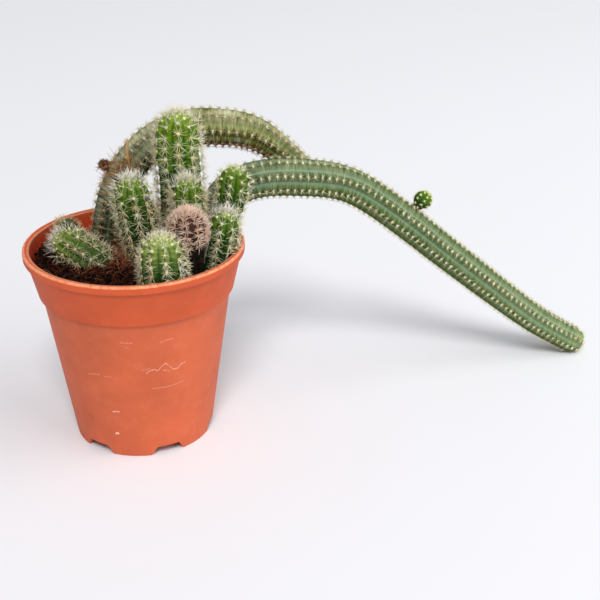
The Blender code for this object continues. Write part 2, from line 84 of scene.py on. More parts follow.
# Pot: how far the lip hangs down, the rounds of its top edges, how much lower the inner one is and how far
# the dust reaches below it, the round of its outer foot, the crease under it and the hollow on top, then the
# collar, the step, the tapering body, the raised floor, the notched foot and the drain holes
LIP_DROP = 2.6
LIP_INNER_ROUND = 0.28
LIP_OUTER_ROUND = 0.65
LIP_DISH = 0.18
LIP_DUST_DEPTH = 0.15
LIP_FOOT_ROUND = (0.35, 0.4)
LIP_CREASE = (0.05, 0.25)
LIP_HOLLOW = 0.02
COLLAR_TOP_RADIUS = 31.5
COLLAR_FOOT_RADIUS = 29.0
COLLAR_FILLET = 0.3
STEP_HEIGHT = 47.2
STEP_ROUND = 0.5
STEP_CREASE = (0.15, 0.3)
BODY_TOP_RADIUS = 27.9
BODY_ROWS = (40.0, 30.0, 20.0, 10.0, 5.0, 2.0)
BASE_RADIUS = 20.9
FOOT_ROUND = 0.4
FLOOR_UNDERSIDE = 3.3
FLOOR_THICKNESS = 1.2
FLOOR_FILLET = 1.2
ARC_STEPS = 7
NOTCH_COUNT = 6
NOTCH_HALF_ANGLE = math.radians(14.1)
NOTCH_TOP_HALF_ANGLE = math.radians(9.3)
NOTCH_FROM_FRONT = math.radians(26.0)
NOTCH_CORNER = 0.2
NOTCH_COLUMNS = 29
FOOT_COLUMNS = 26
DRAIN_RADIUS = 1.7
DRAIN_RING_RADIUS = 13.0
DRAIN_SIDES = 24
DRAIN_CUTTER_REACH = 1.0
WELD_DISTANCE = 0.004
SHARP_ANGLE = math.radians(42.0)
# Parts of the wall with a finish of their own: the inside, painted darker and redder as shade and glow, from
# a height to another and deeper than a share of the wall, the top of the lip, and on it the worn outer rim,
# paled along its edge as a painted highlight, and the dusty inner edge
INSIDE_SPAN = (FLOOR_UNDERSIDE + 0.5, POT_HEIGHT - 1.0)
INSIDE_SHARE = 0.6
LIP_TOP_DEPTH = 0.5
RIM_HIGHLIGHT_WIDTH = 0.8
EDGE_INSET = 0.65
# What the collar's colour is multiplied by, and how dark the mottled plastic and the stains inside are
COLLAR_TINT = (0.97, 0.76, 0.58)
DULL_SHARE = 0.8
STAIN_SHADE = 0.35
# Scratches as runs of places on the wall: the turn to the right of the front times the wall's middle radius,
# and the height, both in millimetres, then the mark's strength and its width
SCRATCH_RADIUS = 24.0
SCRATCH_COLOUR = (0.92, 0.60, 0.46)
SCRATCHES = (
    (((4.4, 30.4), (5.5, 31.5), (6.9, 31.6), (7.7, 31.0), (8.8, 32.5), (9.9, 33.2), (11.0, 31.9),
      (11.9, 30.6), (13.4, 30.5), (14.3, 31.6), (15.8, 31.9)), 0.7, 0.26),
    (((3.2, 31.8), (4.6, 31.9), (5.6, 32.4)), 0.25, 0.3),
    (((9.0, 31.0), (10.4, 30.6), (11.0, 30.2)), 0.4, 0.24),
    (((6.1, 25.0), (9.6, 24.8), (12.9, 25.0), (15.2, 25.4)), 0.42, 0.2),
    (((-12.6, 28.6), (-10.6, 29.3), (-8.6, 29.4)), 0.3, 0.3),
    (((-7.3, 29.1), (-5.0, 29.3)), 0.28, 0.28),
    (((-1.6, 41.5), (1.4, 41.3)), 0.4, 0.24),
    (((8.4, 40.7), (9.9, 41.2), (11.8, 41.2)), 0.36, 0.24),
    (((-0.5, 40.2), (0.6, 39.4)), 0.25, 0.24),
    (((-6.5, 16.4), (-5.2, 16.7), (-4.1, 16.6)), 1.0, 0.26),
    (((-6.6, 8.2), (-6.0, 8.5), (-5.4, 8.4)), 1.4, 0.5),
)
# Dark specks on the wall: place round and up, as above, and radius
SPECKS = ((-15.6, 12.6, 0.5), (-14.6, 11.9, 0.42), (-14.0, 12.9, 0.3), (-15.0, 10.8, 0.36))
SPECK_COLOUR = (0.25, 0.035, 0.015)
SPECK_SHARE = 0.55

# Soil: its rise towards the back, the mound between the stems, the lumps and the bank at the left wall. The
# lumps are sine waves, with their radians a millimetre and their starts, and a slanting one with its share.
SOIL_SLOPE = 0.05
MOUND_WIDTH = 8.0
MOUND_X = -4.0
MOUND_Y = 0.0
LUMP_HEIGHT = 0.45
LUMP_TURNS = (0.55, 0.62)
LUMP_STARTS = (1.3, 0.4)
SLANT_TURNS = (0.31, 0.83)
SLANT_SHARE = 0.6
BANK_HEIGHT = 3.6
BANK_X = -30.0
BANK_Y = 1.0
BANK_WIDTH = 7.5
SOIL_CLEARANCE = 0.4
SOIL_COLUMNS = 240
SOIL_RINGS = 90
SOIL_SIDE_ROWS = (STEP_HEIGHT - 1.2, STEP_HEIGHT + 1.0)
SOIL_EDGE_DROP = 2.0
SOIL_EDGE_FADE = 0.02
# Fine relief: wavelength and height of its two grains, and how far it is lowered
COARSE_RELIEF = (3.4, 0.75)
FINE_RELIEF = (1.3, 0.42)
RELIEF_DROP = 0.45
# Colours of the peat's grains and of its dry patches
PEAT_GRAIN = (0.018, 0.006, 0.004)
PEAT_DRY = (0.05, 0.011, 0.005)
# Crumbs: colours by tone and in the grain, how far they stay from the wall, how much the sizes vary and the
# largest, how much each axis and each point varies, how high a crumb sits as a share of its size, and how the
# tones are spread
CRUMB_STOPS = ((0.7, (0.010, 0.0045, 0.003)), (0.9, (0.075, 0.019, 0.009)), (1.0, (0.46, 0.13, 0.06)))
CRUMB_GRAIN = (0.35, 0.3, 0.25)
CRUMB_INSET = 0.8
CRUMB_SPREAD = 0.5
CRUMB_LIMIT = 1.4
CRUMB_SQUASH = (0.55, 1.3)
CRUMB_DENTS = (0.75, 1.2)
CRUMB_LIFT = 0.25
CRUMB_TONES = (1.6, 2.2)
# Fibres: colours by tone, how far from the wall they lie and may reach, the share of them on the mound, its
# middle and spread, how much lengths and turns vary, how they rise, their radii and taper, and how the tones
# are spread and how dark those off the mound are
DARK_COIR = 0.2
COIR_STOPS = ((0.8, (0.52, 0.20, 0.09)), (1.0, (0.80, 0.62, 0.44)))
FIBRE_POINTS = 8
FIBRE_INSET = 1.5
FIBRE_OVERHANG = 1.0
MOUND_SHARE = 0.78
MOUND_MIDDLE = (-6.0, 4.0)
MOUND_SPREAD = (7.0, 6.0)
FIBRE_SPREAD = 0.45
FIBRE_BEND = 1.3
FIBRE_RISE = (1.5, 0.55)
FIBRE_PHASE = (0.6, 1.0)
FIBRE_LIFT = 0.1
FIBRE_RADII = (0.03, 0.075)
FIBRE_TAPER = 0.5
FIBRE_TONES = (2.2, 2.0)
DEEP_FIBRE_TONE = 0.5

# Stems: the points of a route's spline and the even step between those kept, the rings of a dome, from where
# and over how far the relief comes in, the power that rounds the ribs, the least height of a skin over the
# table, how much a crest rises, and the pitch at which the bumps have their set height
SPLINE_POINTS = 600
ROUTE_STEP = 0.25
DOME_RINGS = 14
FADE_START = 2.0
FADE_LENGTH = 10.0
GROOVE_SHARPNESS = 0.85
FLOOR_GAP = 0.03
CREST_RISE = 0.15
BUMP_PITCH = 3.1
# Areoles crowd over the dome: the power of the cosine by which they near each other, the least pitch as a
# share of the stem's, and the angle from the side of the dome past which none stands
DOME_CROWDING = 0.7
LEAST_PITCH = 0.5
LAST_AREOLE = 1.42
# The pot's lip for spines and areoles: how far clear of it they stand, and how wide it is
LIP_CLEARANCE = 0.3
LIP_WIDTH = 1.3
# Least heights over the soil and over the table, of an areole and of a spine's middle and end
AREOLE_HEIGHTS = (0.3, 0.7)
SPINE_HEIGHTS = (0.2, 0.15)

# A route row is a place on the centre-line and the radius out to the rib crests. The turn, in degrees, starts
# the ribs from the front. Pitch is the distance between areoles along a rib, spines is how many stand in an
# areole, spine is their length and thick their thickness as a share of the usual one. Tone runs from 0, a
# brown spine, to 1, a white one, and crown_tone is the tone at the growing tip. Fan is how far the spines
# crowd to the sides of a rib. Tuft is how much longer the spines are at the tip. Curl is how far a spine
# bends back to the skin. Pad is the radius of an areole's felt. Bare is how far up from the foot no spines
# stand.
Stem = namedtuple(
    "Stem", "name ribs turn pitch spines spine thick tone crown_tone fan tuft curl pad bare look route")

STEMS = (
    Stem("stem_long", 8, 5.0, 2.3, 11, 1.5, 0.58, 0.80, 0.86, 0.9, 0.0, 0.22, 0.36, 0.0, "grey_green", (
        (18.0, 11.2, 44.0, 4.0), (20.0, 12.5, 54.0, 4.6), (22.3, 13.0, 62.5, 5.05), (26.2, 14.2, 70.2, 5.45),
        (33.6, 16.2, 74.0, 5.6), (48.1, 20.4, 73.8, 5.7), (63.3, 25.3, 69.8, 5.5), (73.9, 27.9, 62.8, 5.45),
        (90.8, 33.0, 47.9, 5.4), (116.2, 40.2, 25.3, 5.1), (131.5, 44.3, 12.7, 4.8),
        (143.4, 47.6, 4.65, 4.65))),
    Stem("stem_arching", 8, 20.0, 2.4, 13, 1.9, 0.60, 0.70, 0.72, 0.6, 0.0, 0.22, 0.35, 0.0, "old", (
        (-7.5, 8.4, 44.0, 4.2), (-8.6, 8.9, 54.0, 4.7), (-8.7, 9.3, 61.0, 5.1), (-7.5, 10.0, 67.5, 5.3),
        (-4.0, 12.4, 76.6, 5.4), (3.4, 18.0, 84.5, 5.6), (14.2, 22.4, 88.7, 5.7), (24.5, 25.0, 88.3, 5.6),
        (33.5, 27.5, 86.0, 5.2), (40.6, 29.8, 81.0, 4.6), (49.0, 32.8, 72.0, 4.3))),
    Stem("stem_tall", 10, -9.0, 3.1, 18, 3.1, 0.74, 0.82, 0.92, 0.2, 0.0, 0.0, 0.50, 0.0, "bright", (
        (8.6, 9.4, 44.0, 4.0), (9.4, 9.5, 54.0, 4.5), (11.6, 9.3, 62.0, 5.4), (13.1, 8.9, 70.0, 6.3),
        (13.4, 8.8, 78.0, 6.5), (13.1, 8.8, 86.0, 6.4), (13.1, 8.8, 91.4, 6.15))),
    Stem("stem_left", 9, -14.0, 2.6, 16, 3.1, 0.74, 0.80, 0.97, 0.0, 0.15, 0.0, 0.42, 0.0, "dark", (
        (5.4, -1.6, 44.0, 4.0), (4.4, -1.8, 54.0, 4.4), (3.0, -2.0, 61.0, 5.0), (1.8, -2.2, 68.0, 5.3),
        (0.8, -2.3, 74.0, 5.15), (0.5, -2.4, 76.3, 5.1))),
    Stem("stem_middle", 8, 10.0, 2.5, 16, 3.0, 0.74, 0.78, 0.95, 0.0, 0.2, 0.0, 0.40, 0.0, "dark", (
        (15.4, 0.0, 44.0, 3.3), (15.9, -0.4, 54.0, 3.6), (16.4, -1.4, 62.0, 4.2), (16.6, -1.9, 70.0, 4.35),
        (16.6, -2.1, 76.8, 4.3))),
    Stem("stem_bristly", 9, 0.0, 1.7, 17, 2.8, 0.84, 0.74, 0.82, 0.7, 0.0, 0.12, 0.26, 22.0, "bristly", (
        (17.8, -11.4, 44.0, 2.9), (18.0, -11.5, 54.0, 3.1), (18.0, -11.8, 61.0, 3.4),
        (17.4, -12.1, 66.5, 4.4), (17.1, -12.2, 70.0, 4.95))),
    Stem("stem_front", 9, -17.0, 2.4, 17, 2.9, 0.76, 0.82, 0.86, 0.0, -0.3, 0.0, 0.46, 0.0, "fresh", (
        (11.4, -17.6, 44.0, 4.5), (10.9, -19.0, 53.0, 5.9), (10.6, -19.5, 58.0, 6.2),
        (10.4, -19.9, 62.0, 6.15), (10.3, -20.1, 65.2, 5.9))),
    Stem("stem_right", 8, 12.0, 2.5, 16, 2.8, 0.74, 0.85, 0.96, 0.0, 0.15, 0.0, 0.40, 0.0, "dark", (
        (21.2, -4.8, 44.0, 3.2), (23.6, -5.7, 54.0, 3.9), (25.2, -6.0, 60.0, 4.3), (26.6, -6.4, 66.0, 4.3),
        (27.1, -6.5, 68.6, 4.2))),
    Stem("stem_right_rear", 8, 11.0, 2.5, 10, 2.4, 0.78, 0.82, 0.88, 0.0, -0.1, 0.0, 0.42, 0.0, "dark", (
        (22.3, 3.7, 44.0, 3.1), (23.8, 3.5, 54.0, 3.6), (25.4, 3.5, 62.0, 4.1), (27.4, 3.7, 69.0, 4.3),
        (28.9, 3.9, 75.0, 4.4), (29.4, 4.0, 78.3, 4.3))),
    Stem("stem_lying", 9, 20.0, 2.5, 14, 2.7, 0.76, 0.80, 0.94, 0.0, 0.2, 0.0, 0.42, 0.0, "blue_green", (
        (-3.6, -3.0, 45.0, 3.9), (-6.2, -2.6, 50.5, 4.5), (-10.0, -2.2, 54.4, 4.95), (-14.0, -1.8, 57.4, 5.1),
        (-18.6, -1.2, 60.2, 5.0))),
    Stem("stem_small", 7, 0.0, 2.3, 11, 2.0, 0.62, 0.50, 0.66, 0.0, 0.0, 0.0, 0.32, 0.0, "dull", (
        (-18.2, 10.0, 46.0, 2.4), (-18.5, 10.2, 53.0, 2.7), (-19.2, 10.4, 57.5, 3.2),
        (-21.6, 10.4, 60.8, 3.35))),
)

# Buds: the stem they grow from, a name, the middle of the head, its radius, the look, and the spines' tone
# and their tone at the crown
BUDS = (
    ("stem_long", "bud", (87.7, 31.0, 62.5), 2.9, "bright", 0.8, 0.85),
    ("stem_arching", "dried_bud", (-9.0, 11.8, 80.6), 1.5, "dried", 0.1, 0.1),
)
# As shares of the head's radius: places on a bud's centre-line behind the middle of its head with the radius
# there, the neck's radius in the parent, the pitch of its areoles and their felt's radius
BUD_SHAPE = ((0.95, 0.5), (0.5, 0.85), (0.0, 1.0))
BUD_NECK = 0.45
BUD_PITCH = 0.52
BUD_PAD = 0.12
BUD_SPINES = 8
BUD_SPINE = 0.9
BUD_SEED = 50

# Finish of a skin: the record's slot, colours from the base to the tip as shares of the stem's length, the
# groove's colour, which is a pale line in some looks and near-black painted shade in the groove in the
# others, how much of it shows and how narrow it is, the dust's colour and how much of it lies on the upper
# side, the colour of the painted shade on the underside and how much of it shows, and how much of the skin is
# scarred
Look = namedtuple("Look", "slot stops groove grooved narrow dust dusty under shaded scarred")

# The near-black colours at the base of the clump's stems, and up the bristly stem's stalk below its head, are
# painted shade deep in the clump over older, darker skin
LOOKS = {
    "grey_green": Look("skin_grey_green", (
        (0.0, (0.045, 0.055, 0.035)), (0.12, (0.060, 0.078, 0.046)), (0.2, (0.09, 0.14, 0.065)),
        (0.28, (0.115, 0.175, 0.070)), (0.45, (0.100, 0.175, 0.056)), (0.7, (0.115, 0.185, 0.066)),
        (0.94, (0.18, 0.275, 0.115)), (1.0, (0.33, 0.45, 0.15))),
        (0.30, 0.40, 0.29), 0.68, 3.4, (0.35, 0.39, 0.22), 0.6, (0.085, 0.135, 0.014), 0.9, 0.15),
    "old": Look("skin_old", (
        (0.0, (0.010, 0.014, 0.009)), (0.17, (0.015, 0.021, 0.012)), (0.27, (0.022, 0.029, 0.014)),
        (0.4, (0.034, 0.064, 0.034)), (0.55, (0.16, 0.17, 0.036)), (0.72, (0.145, 0.165, 0.016)),
        (1.0, (0.06, 0.11, 0.016))),
        (0.17, 0.23, 0.06), 0.5, 3.5, (0.58, 0.57, 0.38), 0.9, (0.075, 0.034, 0.008), 0.85, 0.38),
    "dull": Look("skin_old", (
        (0.0, (0.010, 0.016, 0.008)), (0.6, (0.018, 0.038, 0.012)), (1.0, (0.070, 0.110, 0.022))),
        (0.008, 0.016, 0.005), 0.8, 1.6, (0.22, 0.25, 0.13), 0.35, (0.020, 0.012, 0.006), 0.6, 0.0),
    "bright": Look("skin_green", (
        (0.0, (0.006, 0.018, 0.004)), (0.4, (0.010, 0.045, 0.004)), (0.62, (0.022, 0.10, 0.005)),
        (0.8, (0.13, 0.26, 0.010)), (1.0, (0.30, 0.42, 0.03))),
        (0.006, 0.030, 0.002), 0.8, 1.7, (0.16, 0.28, 0.05), 0.2, (0.006, 0.018, 0.004), 0.5, 0.0),
    "dark": Look("skin_green", (
        (0.0, (0.005, 0.012, 0.005)), (0.45, (0.010, 0.034, 0.008)), (0.7, (0.034, 0.105, 0.008)),
        (0.88, (0.13, 0.24, 0.012)), (1.0, (0.28, 0.40, 0.06))),
        (0.005, 0.020, 0.004), 0.8, 1.6, (0.14, 0.22, 0.07), 0.25, (0.005, 0.012, 0.005), 0.5, 0.0),
    "blue_green": Look("skin_green", (
        (0.0, (0.010, 0.024, 0.012)), (0.3, (0.034, 0.072, 0.032)), (0.55, (0.085, 0.140, 0.028)),
        (0.8, (0.18, 0.26, 0.030)), (1.0, (0.32, 0.42, 0.08))),
        (0.012, 0.045, 0.012), 0.7, 1.6, (0.20, 0.30, 0.10), 0.3, (0.010, 0.022, 0.010), 0.5, 0.0),
    "fresh": Look("skin_green", (
        (0.0, (0.005, 0.012, 0.006)), (0.42, (0.010, 0.036, 0.009)), (0.62, (0.035, 0.11, 0.014)),
        (0.8, (0.24, 0.32, 0.06)), (1.0, (0.52, 0.58, 0.20))),
        (0.012, 0.045, 0.008), 0.75, 1.8, (0.34, 0.46, 0.16), 0.3, (0.005, 0.012, 0.005), 0.5, 0.0),
    "bristly": Look("skin_bristly", (
        (0.0, (0.006, 0.010, 0.006)), (0.66, (0.008, 0.012, 0.007)), (0.76, (0.06, 0.023, 0.016)),
        (1.0, (0.20, 0.085, 0.062))),
        (0.030, 0.012, 0.009), 0.6, 1.5, (0.10, 0.05, 0.035), 0.2, (0.006, 0.006, 0.004), 0.6, 0.0),
    "dried": Look("skin_old", (
        (0.0, (0.05, 0.03, 0.018)), (0.5, (0.05, 0.02, 0.012)), (1.0, (0.025, 0.012, 0.009))),
        (0.01, 0.006, 0.005), 0.8, 2.0, (0.12, 0.06, 0.035), 0.3, (0.01, 0.006, 0.005), 0.5, 0.0),
}
# Colours that a skin is mixed with, at its scars, or multiplied by: on its streaks, as painted shadows of the
# spines over real dark lines, and as painted shade in the hollow between two areoles of a row and round an
# areole
SCAR = (0.45, 0.47, 0.42)
STREAK_SHADOW_TINT = (0.30, 0.36, 0.26)
DIP_PAINTED_SHADE = (0.16, 0.22, 0.12)
AREOLE_SHADE_TINT = (0.45, 0.34, 0.22)
# Streaks across the ribs: how many cross a millimetre, and how much they drift
STREAKS = 2.2
STREAK_DRIFT = 0.22

# Tones of spines and felt: how many millimetres before the centre-line's end the crown starts, how far past
# that end it is whole as a share of the tip's radius, how much browner and darker the tones are on the
# underside, partly older felt and partly painted shade, and at the foot, as painted shade low in the clump,
# and how much they vary from areole to areole and from spine to spine
CROWN_START = 1.5
CROWN_WHOLE = 0.9
UNDERSIDE_SHADE_BROWNING = 0.08
OLD_UNDERSIDE_SHADE_BROWNING = 0.4
FOOT_SHADE_DARKENING = 0.22
AREOLE_SPREAD = 0.05
SPINE_SPREAD = 0.08
# Looks whose spines and felt are darker and browner near the foot as painted shade low in the clump, and the
# shares of the stem's length over which that fades
SHADED_FOOT_LOOKS = {
    "bright": (0.35, 0.75), "dark": (0.35, 0.75), "blue_green": (0.2, 0.6), "fresh": (0.35, 0.75),
    "old": (0.14, 0.5)}
# Looks whose crown has lime felt and fewer spines, how much the crown's felt changes its tone in these looks
# and in the others, and the share of the spines that are missing at the very tip
LIME_LOOKS = ("bright", "dark", "blue_green", "fresh")
LIME_RISE = 0.2
CROWN_FALL = -0.05
CROWN_THINNING = 0.45

# Felt: the sides of a pad, how much its radius and its edge vary, how deep its foot and its bottom are sunk,
# and how high and how wide its middle ring is
PAD_SIDES = 6
PAD_SIZES = (0.75, 1.25)
PAD_EDGE = (0.8, 1.2)
PAD_FOOT = 0.12
PAD_BOTTOM = 0.15
PAD_MIDDLE = (0.6, 0.75)

# Spines of an areole: one in so many stands up, between two angles and with a share of the length. The even
# turns vary by a share of their distance. On the crown the spines rise by an angle and lean to the tip by a
# share. A root stands off the skin, and out by a share of the felt. Then come the shares by which lengths,
# thicknesses and bends vary, a spine's three places along its length and its taper there.
CENTRAL_EVERY = 5
CENTRAL_LIFTS = (math.radians(50.0), math.radians(85.0))
CENTRAL_LENGTH = 0.85
TURN_SPREAD = 0.35
CROWN_LIFT = math.radians(14.0)
CROWN_LEAN = 0.35
ROOT_RISE = 0.1
ROOT_REACH = 0.45
SPINE_LENGTHS = (0.55, 1.12)
SPINE_WIDTHS = (0.75, 1.2)
SPINE_BEND = 0.18
SPINE_STEPS = (0.0, 0.5, 1.0)
SPINE_TAPER = (1.0, 0.75, 0.2)

# Dried fibres that cling to the arching stem. Each bunch has its root's middle, its spread, the way it
# points, how much that varies, how many fibres, their length and radius, and the range of their tones. Below
# are the points and sides of a fibre, its bend, how much lengths and widths vary, and its taper.
Bunch = namedtuple("Bunch", "root spread heading scatter count length radius tones")

BUNCHES = (
    Bunch((-7.4, 11.0, 80.6), (1.5, 0.8, 0.6), (-1.0, -0.15, -0.05), 0.35, 90, 1.3, 0.16, (0.0, 0.3)),
    Bunch((-2.6, 7.4, 81.0), (2.3, 0.5, 1.6), (-0.3, -0.5, 0.8), 0.6, 110, 2.6, 0.09, (0.15, 0.5)),
    Bunch((-6.5, 8.0, 76.0), (1.2, 0.6, 2.0), (-0.8, -0.5, 0.3), 0.5, 60, 2.4, 0.09, (0.05, 0.45)),
)
BUNCH_SEED = 90
BUNCH_POINTS = 5
BUNCH_SIDES = 4
BUNCH_BEND = 0.5
BUNCH_SPREAD = 0.35
BUNCH_WIDTHS = (0.6, 1.3)
BUNCH_TAPER = 0.7
# The golden fibre among them, as places and radii along it
STRAND = (
    (-1.0, 8.3, 79.6, 0.16), (-1.25, 7.9, 82.3, 0.2), (-1.5, 7.9, 84.9, 0.34), (-1.6, 8.0, 87.0, 0.38),
    (-1.25, 8.1, 88.8, 0.3), (-0.4, 8.2, 89.7, 0.18))
STRAND_POINTS = 24
STRAND_SIDES = 8
STRAND_TONE = 0.36

# Colours of spines, felt and bristles by tone, from brown to white, and of the grain over them
SPINE_STOPS = (
    (0.0, (0.10, 0.035, 0.015)), (0.3, (0.50, 0.22, 0.06)), (0.55, (0.76, 0.54, 0.28)),
    (0.75, (0.96, 0.87, 0.54)), (0.88, (0.97, 0.93, 0.70)), (1.0, (0.98, 0.96, 0.90)))
FELT_STOPS = (
    (0.0, (0.16, 0.07, 0.03)), (0.4, (0.50, 0.31, 0.15)), (0.6, (0.86, 0.74, 0.46)),
    (0.8, (0.96, 0.90, 0.58)), (1.0, (0.86, 0.93, 0.44)))
BRISTLE_STOPS = (
    (0.0, (0.10, 0.04, 0.025)), (0.35, (0.66, 0.31, 0.20)), (0.6, (1.0, 0.66, 0.50)),
    (1.0, (1.0, 0.84, 0.70)))
TONE_GRAIN = (0.55, 0.5, 0.45)

# Photograph's camera, from the pot's axis
CAMERA_PLACE = (48.74, -326.54, 196.43)
CAMERA_TILT = math.radians(64.694)
CAMERA_LENS = 72.0
CAMERA_SENSOR = 36.0

# Stage
FLOOR_SIZE = 40000.0
SUN_TRAVEL = (-0.03, 0.84, -1.0)
WINDOW_PLACE = (900.0, -270.0, 675.0)
WINDOW_SIZE = 1200.0
WINDOW_TARGET = (20.0, 0.0, 30.0)
FLOOR_CLOUD = (0.76, 0.76, 0.80)
SKY_COLOUR = (0.98, 0.98, 1.0, 1.0)
SUN_COLOUR = (1.0, 0.99, 0.97)


class PotSettings(bpy.types.PropertyGroup):
    """Sizes and colours of the nursery pot."""

    wall: bpy.props.FloatProperty(
        name="Wall", description="Thickness of the pot's wall", default=1.0 * MM, min=0.4 * MM, unit="LENGTH")
    notch_height: bpy.props.FloatProperty(
        name="Notch height", description="Height of the water notches in the foot", default=3.0 * MM,
        min=0.0, unit="LENGTH")
    colour: bpy.props.FloatVectorProperty(
        name="Plastic", description="Colour of the plastic", subtype="COLOR", size=3,
        default=(0.66, 0.132, 0.050))
    # Painted shade and glow: the darker, redder colour inside the rim
    shade: bpy.props.FloatVectorProperty(
        name="Inner plastic", description="Colour of the wall inside the rim", subtype="COLOR", size=3,
        default=(0.58, 0.060, 0.018))
    scuff: bpy.props.FloatVectorProperty(
        name="Scuffs", description="Colour of scratches and rubbed spots", subtype="COLOR", size=3,
        default=(0.90, 0.34, 0.17))
    dust: bpy.props.FloatVectorProperty(
        name="Dust", description="Colour of the dusty inner edge of the rim", subtype="COLOR", size=3,
        default=(0.62, 0.25, 0.15))
    roughness: bpy.props.FloatProperty(
        name="Roughness", description="Roughness of the plastic", default=0.6, min=0.0, max=1.0,
        subtype="FACTOR")


class SoilSettings(bpy.types.PropertyGroup):
    """Sizes and colours of the soil, its crumbs and its fibres."""

    level: bpy.props.FloatProperty(
        name="Level", description="Height of the soil at the pot's axis", default=54.3 * MM, unit="LENGTH")
    mound: bpy.props.FloatProperty(
        name="Mound", description="Height of the mound between the stems", default=2.4 * MM, unit="LENGTH")
    crumbs: bpy.props.IntProperty(
        name="Crumbs", description="How many loose crumbs lie on the soil", default=5200, min=0)
    crumb_size: bpy.props.FloatProperty(
        name="Crumb size", description="Radius of a middling crumb", default=0.30 * MM, unit="LENGTH")
    fibres: bpy.props.IntProperty(
        name="Fibres", description="How many coconut fibres lie in the soil", default=3200, min=0)
    fibre_length: bpy.props.FloatProperty(
        name="Fibre length", description="Length of a middling fibre", default=3.4 * MM, unit="LENGTH")
    peat: bpy.props.FloatVectorProperty(
        name="Peat", description="Colour of the peat", subtype="COLOR", size=3,
        default=(0.004, 0.002, 0.0015))
    coir: bpy.props.FloatVectorProperty(
        name="Coir", description="Colour of the coconut fibre", subtype="COLOR", size=3,
        default=(0.25, 0.058, 0.022))


class StemSettings(bpy.types.PropertyGroup):
    """Relief of the stems' skins."""

    groove: bpy.props.FloatProperty(
        name="Groove", description="Depth of a groove as a share of the stem's radius", default=0.21, min=0.0,
        max=0.5, subtype="FACTOR")
    bump: bpy.props.FloatProperty(
        name="Bump", description="How far areoles a set pitch apart stand above the crest between them",
        default=0.6 * MM, min=0.0, unit="LENGTH")
    ring_spacing: bpy.props.FloatProperty(
        name="Ring spacing", description="Distance between the rings of the mesh", default=0.42 * MM,
        min=0.1 * MM, unit="LENGTH")
    corners_a_rib: bpy.props.IntProperty(
        name="Corners a rib", description="Mesh columns across one rib", default=8, min=2)


class SpineSettings(bpy.types.PropertyGroup):
    """Sizes of spines and felt."""

    thickness: bpy.props.FloatProperty(
        name="Thickness", description="Radius of a spine at its root", default=0.108 * MM, min=0.02 * MM,
        unit="LENGTH")
    lift: bpy.props.FloatProperty(
        name="Lift", description="Least angle between a radial spine and the skin",
        default=math.radians(14.0), subtype="ANGLE")
    spread: bpy.props.FloatProperty(
        name="Spread", description="How much more a radial spine may stand up", default=math.radians(34.0),
        subtype="ANGLE")
    pad_height: bpy.props.FloatProperty(
        name="Felt height", description="Height of an areole's felt as a share of its radius", default=0.75,
        min=0.0, max=2.0, subtype="FACTOR")


class StageSettings(bpy.types.PropertyGroup):
    """Floor and lights."""

    floor: bpy.props.FloatVectorProperty(
        name="Floor", description="Colour of the floor", subtype="COLOR", size=3, default=(0.83, 0.84, 0.88))
    sky: bpy.props.FloatProperty(
        name="Sky", description="Strength of the light from all sides", default=0.40, min=0.0)
    sun: bpy.props.FloatProperty(
        name="Sun", description="Strength of the light from the front and above", default=1.94, min=0.0)
    sun_size: bpy.props.FloatProperty(
        name="Sun size", description="Angle that the sun fills, which softens its shadows",
        default=math.radians(19.0), subtype="ANGLE")
    window: bpy.props.FloatProperty(
        name="Window", description="Power of the broad light on the right", default=7.3, min=0.0,
        unit="POWER")


def place(points):
    """Turn millimetres from the pot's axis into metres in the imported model's frame."""
    return (np.asarray(points, float) + POT_AXIS) * MM


def unit(vectors):
    """Vectors of length one."""
    return vectors / np.maximum(np.linalg.norm(vectors, axis=-1, keepdims=True), 1e-9)


def smooth_step(values, low, high):
    """Rise from 0 at low to 1 at high, level at both ends."""
    share = np.clip((values - low) / (high - low), 0.0, 1.0)
    return share * share * (3.0 - 2.0 * share)


def ripple(points, wavelength, seed, waves=14):
    """Smooth noise, mostly between -1 and 1: sine waves with seeded directions, lengths and phases.

    Their sum is divided by 1.6 times the root of half their number, which is 1.6 times its usual size.
    """
    random = np.random.default_rng(seed)
    points = np.asarray(points, float)
    total = np.zeros(points.shape[:-1])
    for _ in range(waves):
        heading = unit(random.normal(size=3))
        stretch = random.uniform(0.7, 1.5)
        phase = random.uniform(0.0, math.tau)
        total += np.sin((points @ heading) * math.tau / (wavelength * stretch) + phase)
    return total / math.sqrt(waves / 2.0) / 1.6


def make_piece(
        name, points, quads=(), triangles=(), material=None, values=None, stands_for=None):
    """Put points and faces into a mesh, ride it on the root body and hide the imported part that it stands
    for.
    """
    mesh = bpy.data.meshes.new(name)
    quads = np.asarray(quads, int).reshape(-1, 4)
    triangles = np.asarray(triangles, int).reshape(-1, 3)
    corners = np.concatenate((quads.ravel(), triangles.ravel()))
    starts = np.concatenate((np.arange(len(quads)) * 4, 4 * len(quads) + np.arange(len(triangles)) * 3))
    mesh.vertices.add(len(points))
    mesh.vertices.foreach_set("co", place(points).astype(np.float32).ravel())
    mesh.loops.add(len(corners))
    mesh.loops.foreach_set("vertex_index", corners.astype(np.int32))
    mesh.polygons.add(len(starts))
    mesh.polygons.foreach_set("loop_start", starts.astype(np.int32))
    mesh.update(calc_edges=True)
    mesh.validate()
    mesh.shade_smooth()
    for label, numbers in (values or {}).items():
        attribute = mesh.attributes.new(label, "FLOAT", "POINT")
        attribute.data.foreach_set("value", np.asarray(numbers, np.float32).ravel())
    if material:
        mesh.materials.append(material)
    made = bpy.data.objects.new(name, mesh)
    bpy.context.scene.collection.objects.link(made)
    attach(made, "root")
    if stands_for:
        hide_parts(stands_for)
    return made


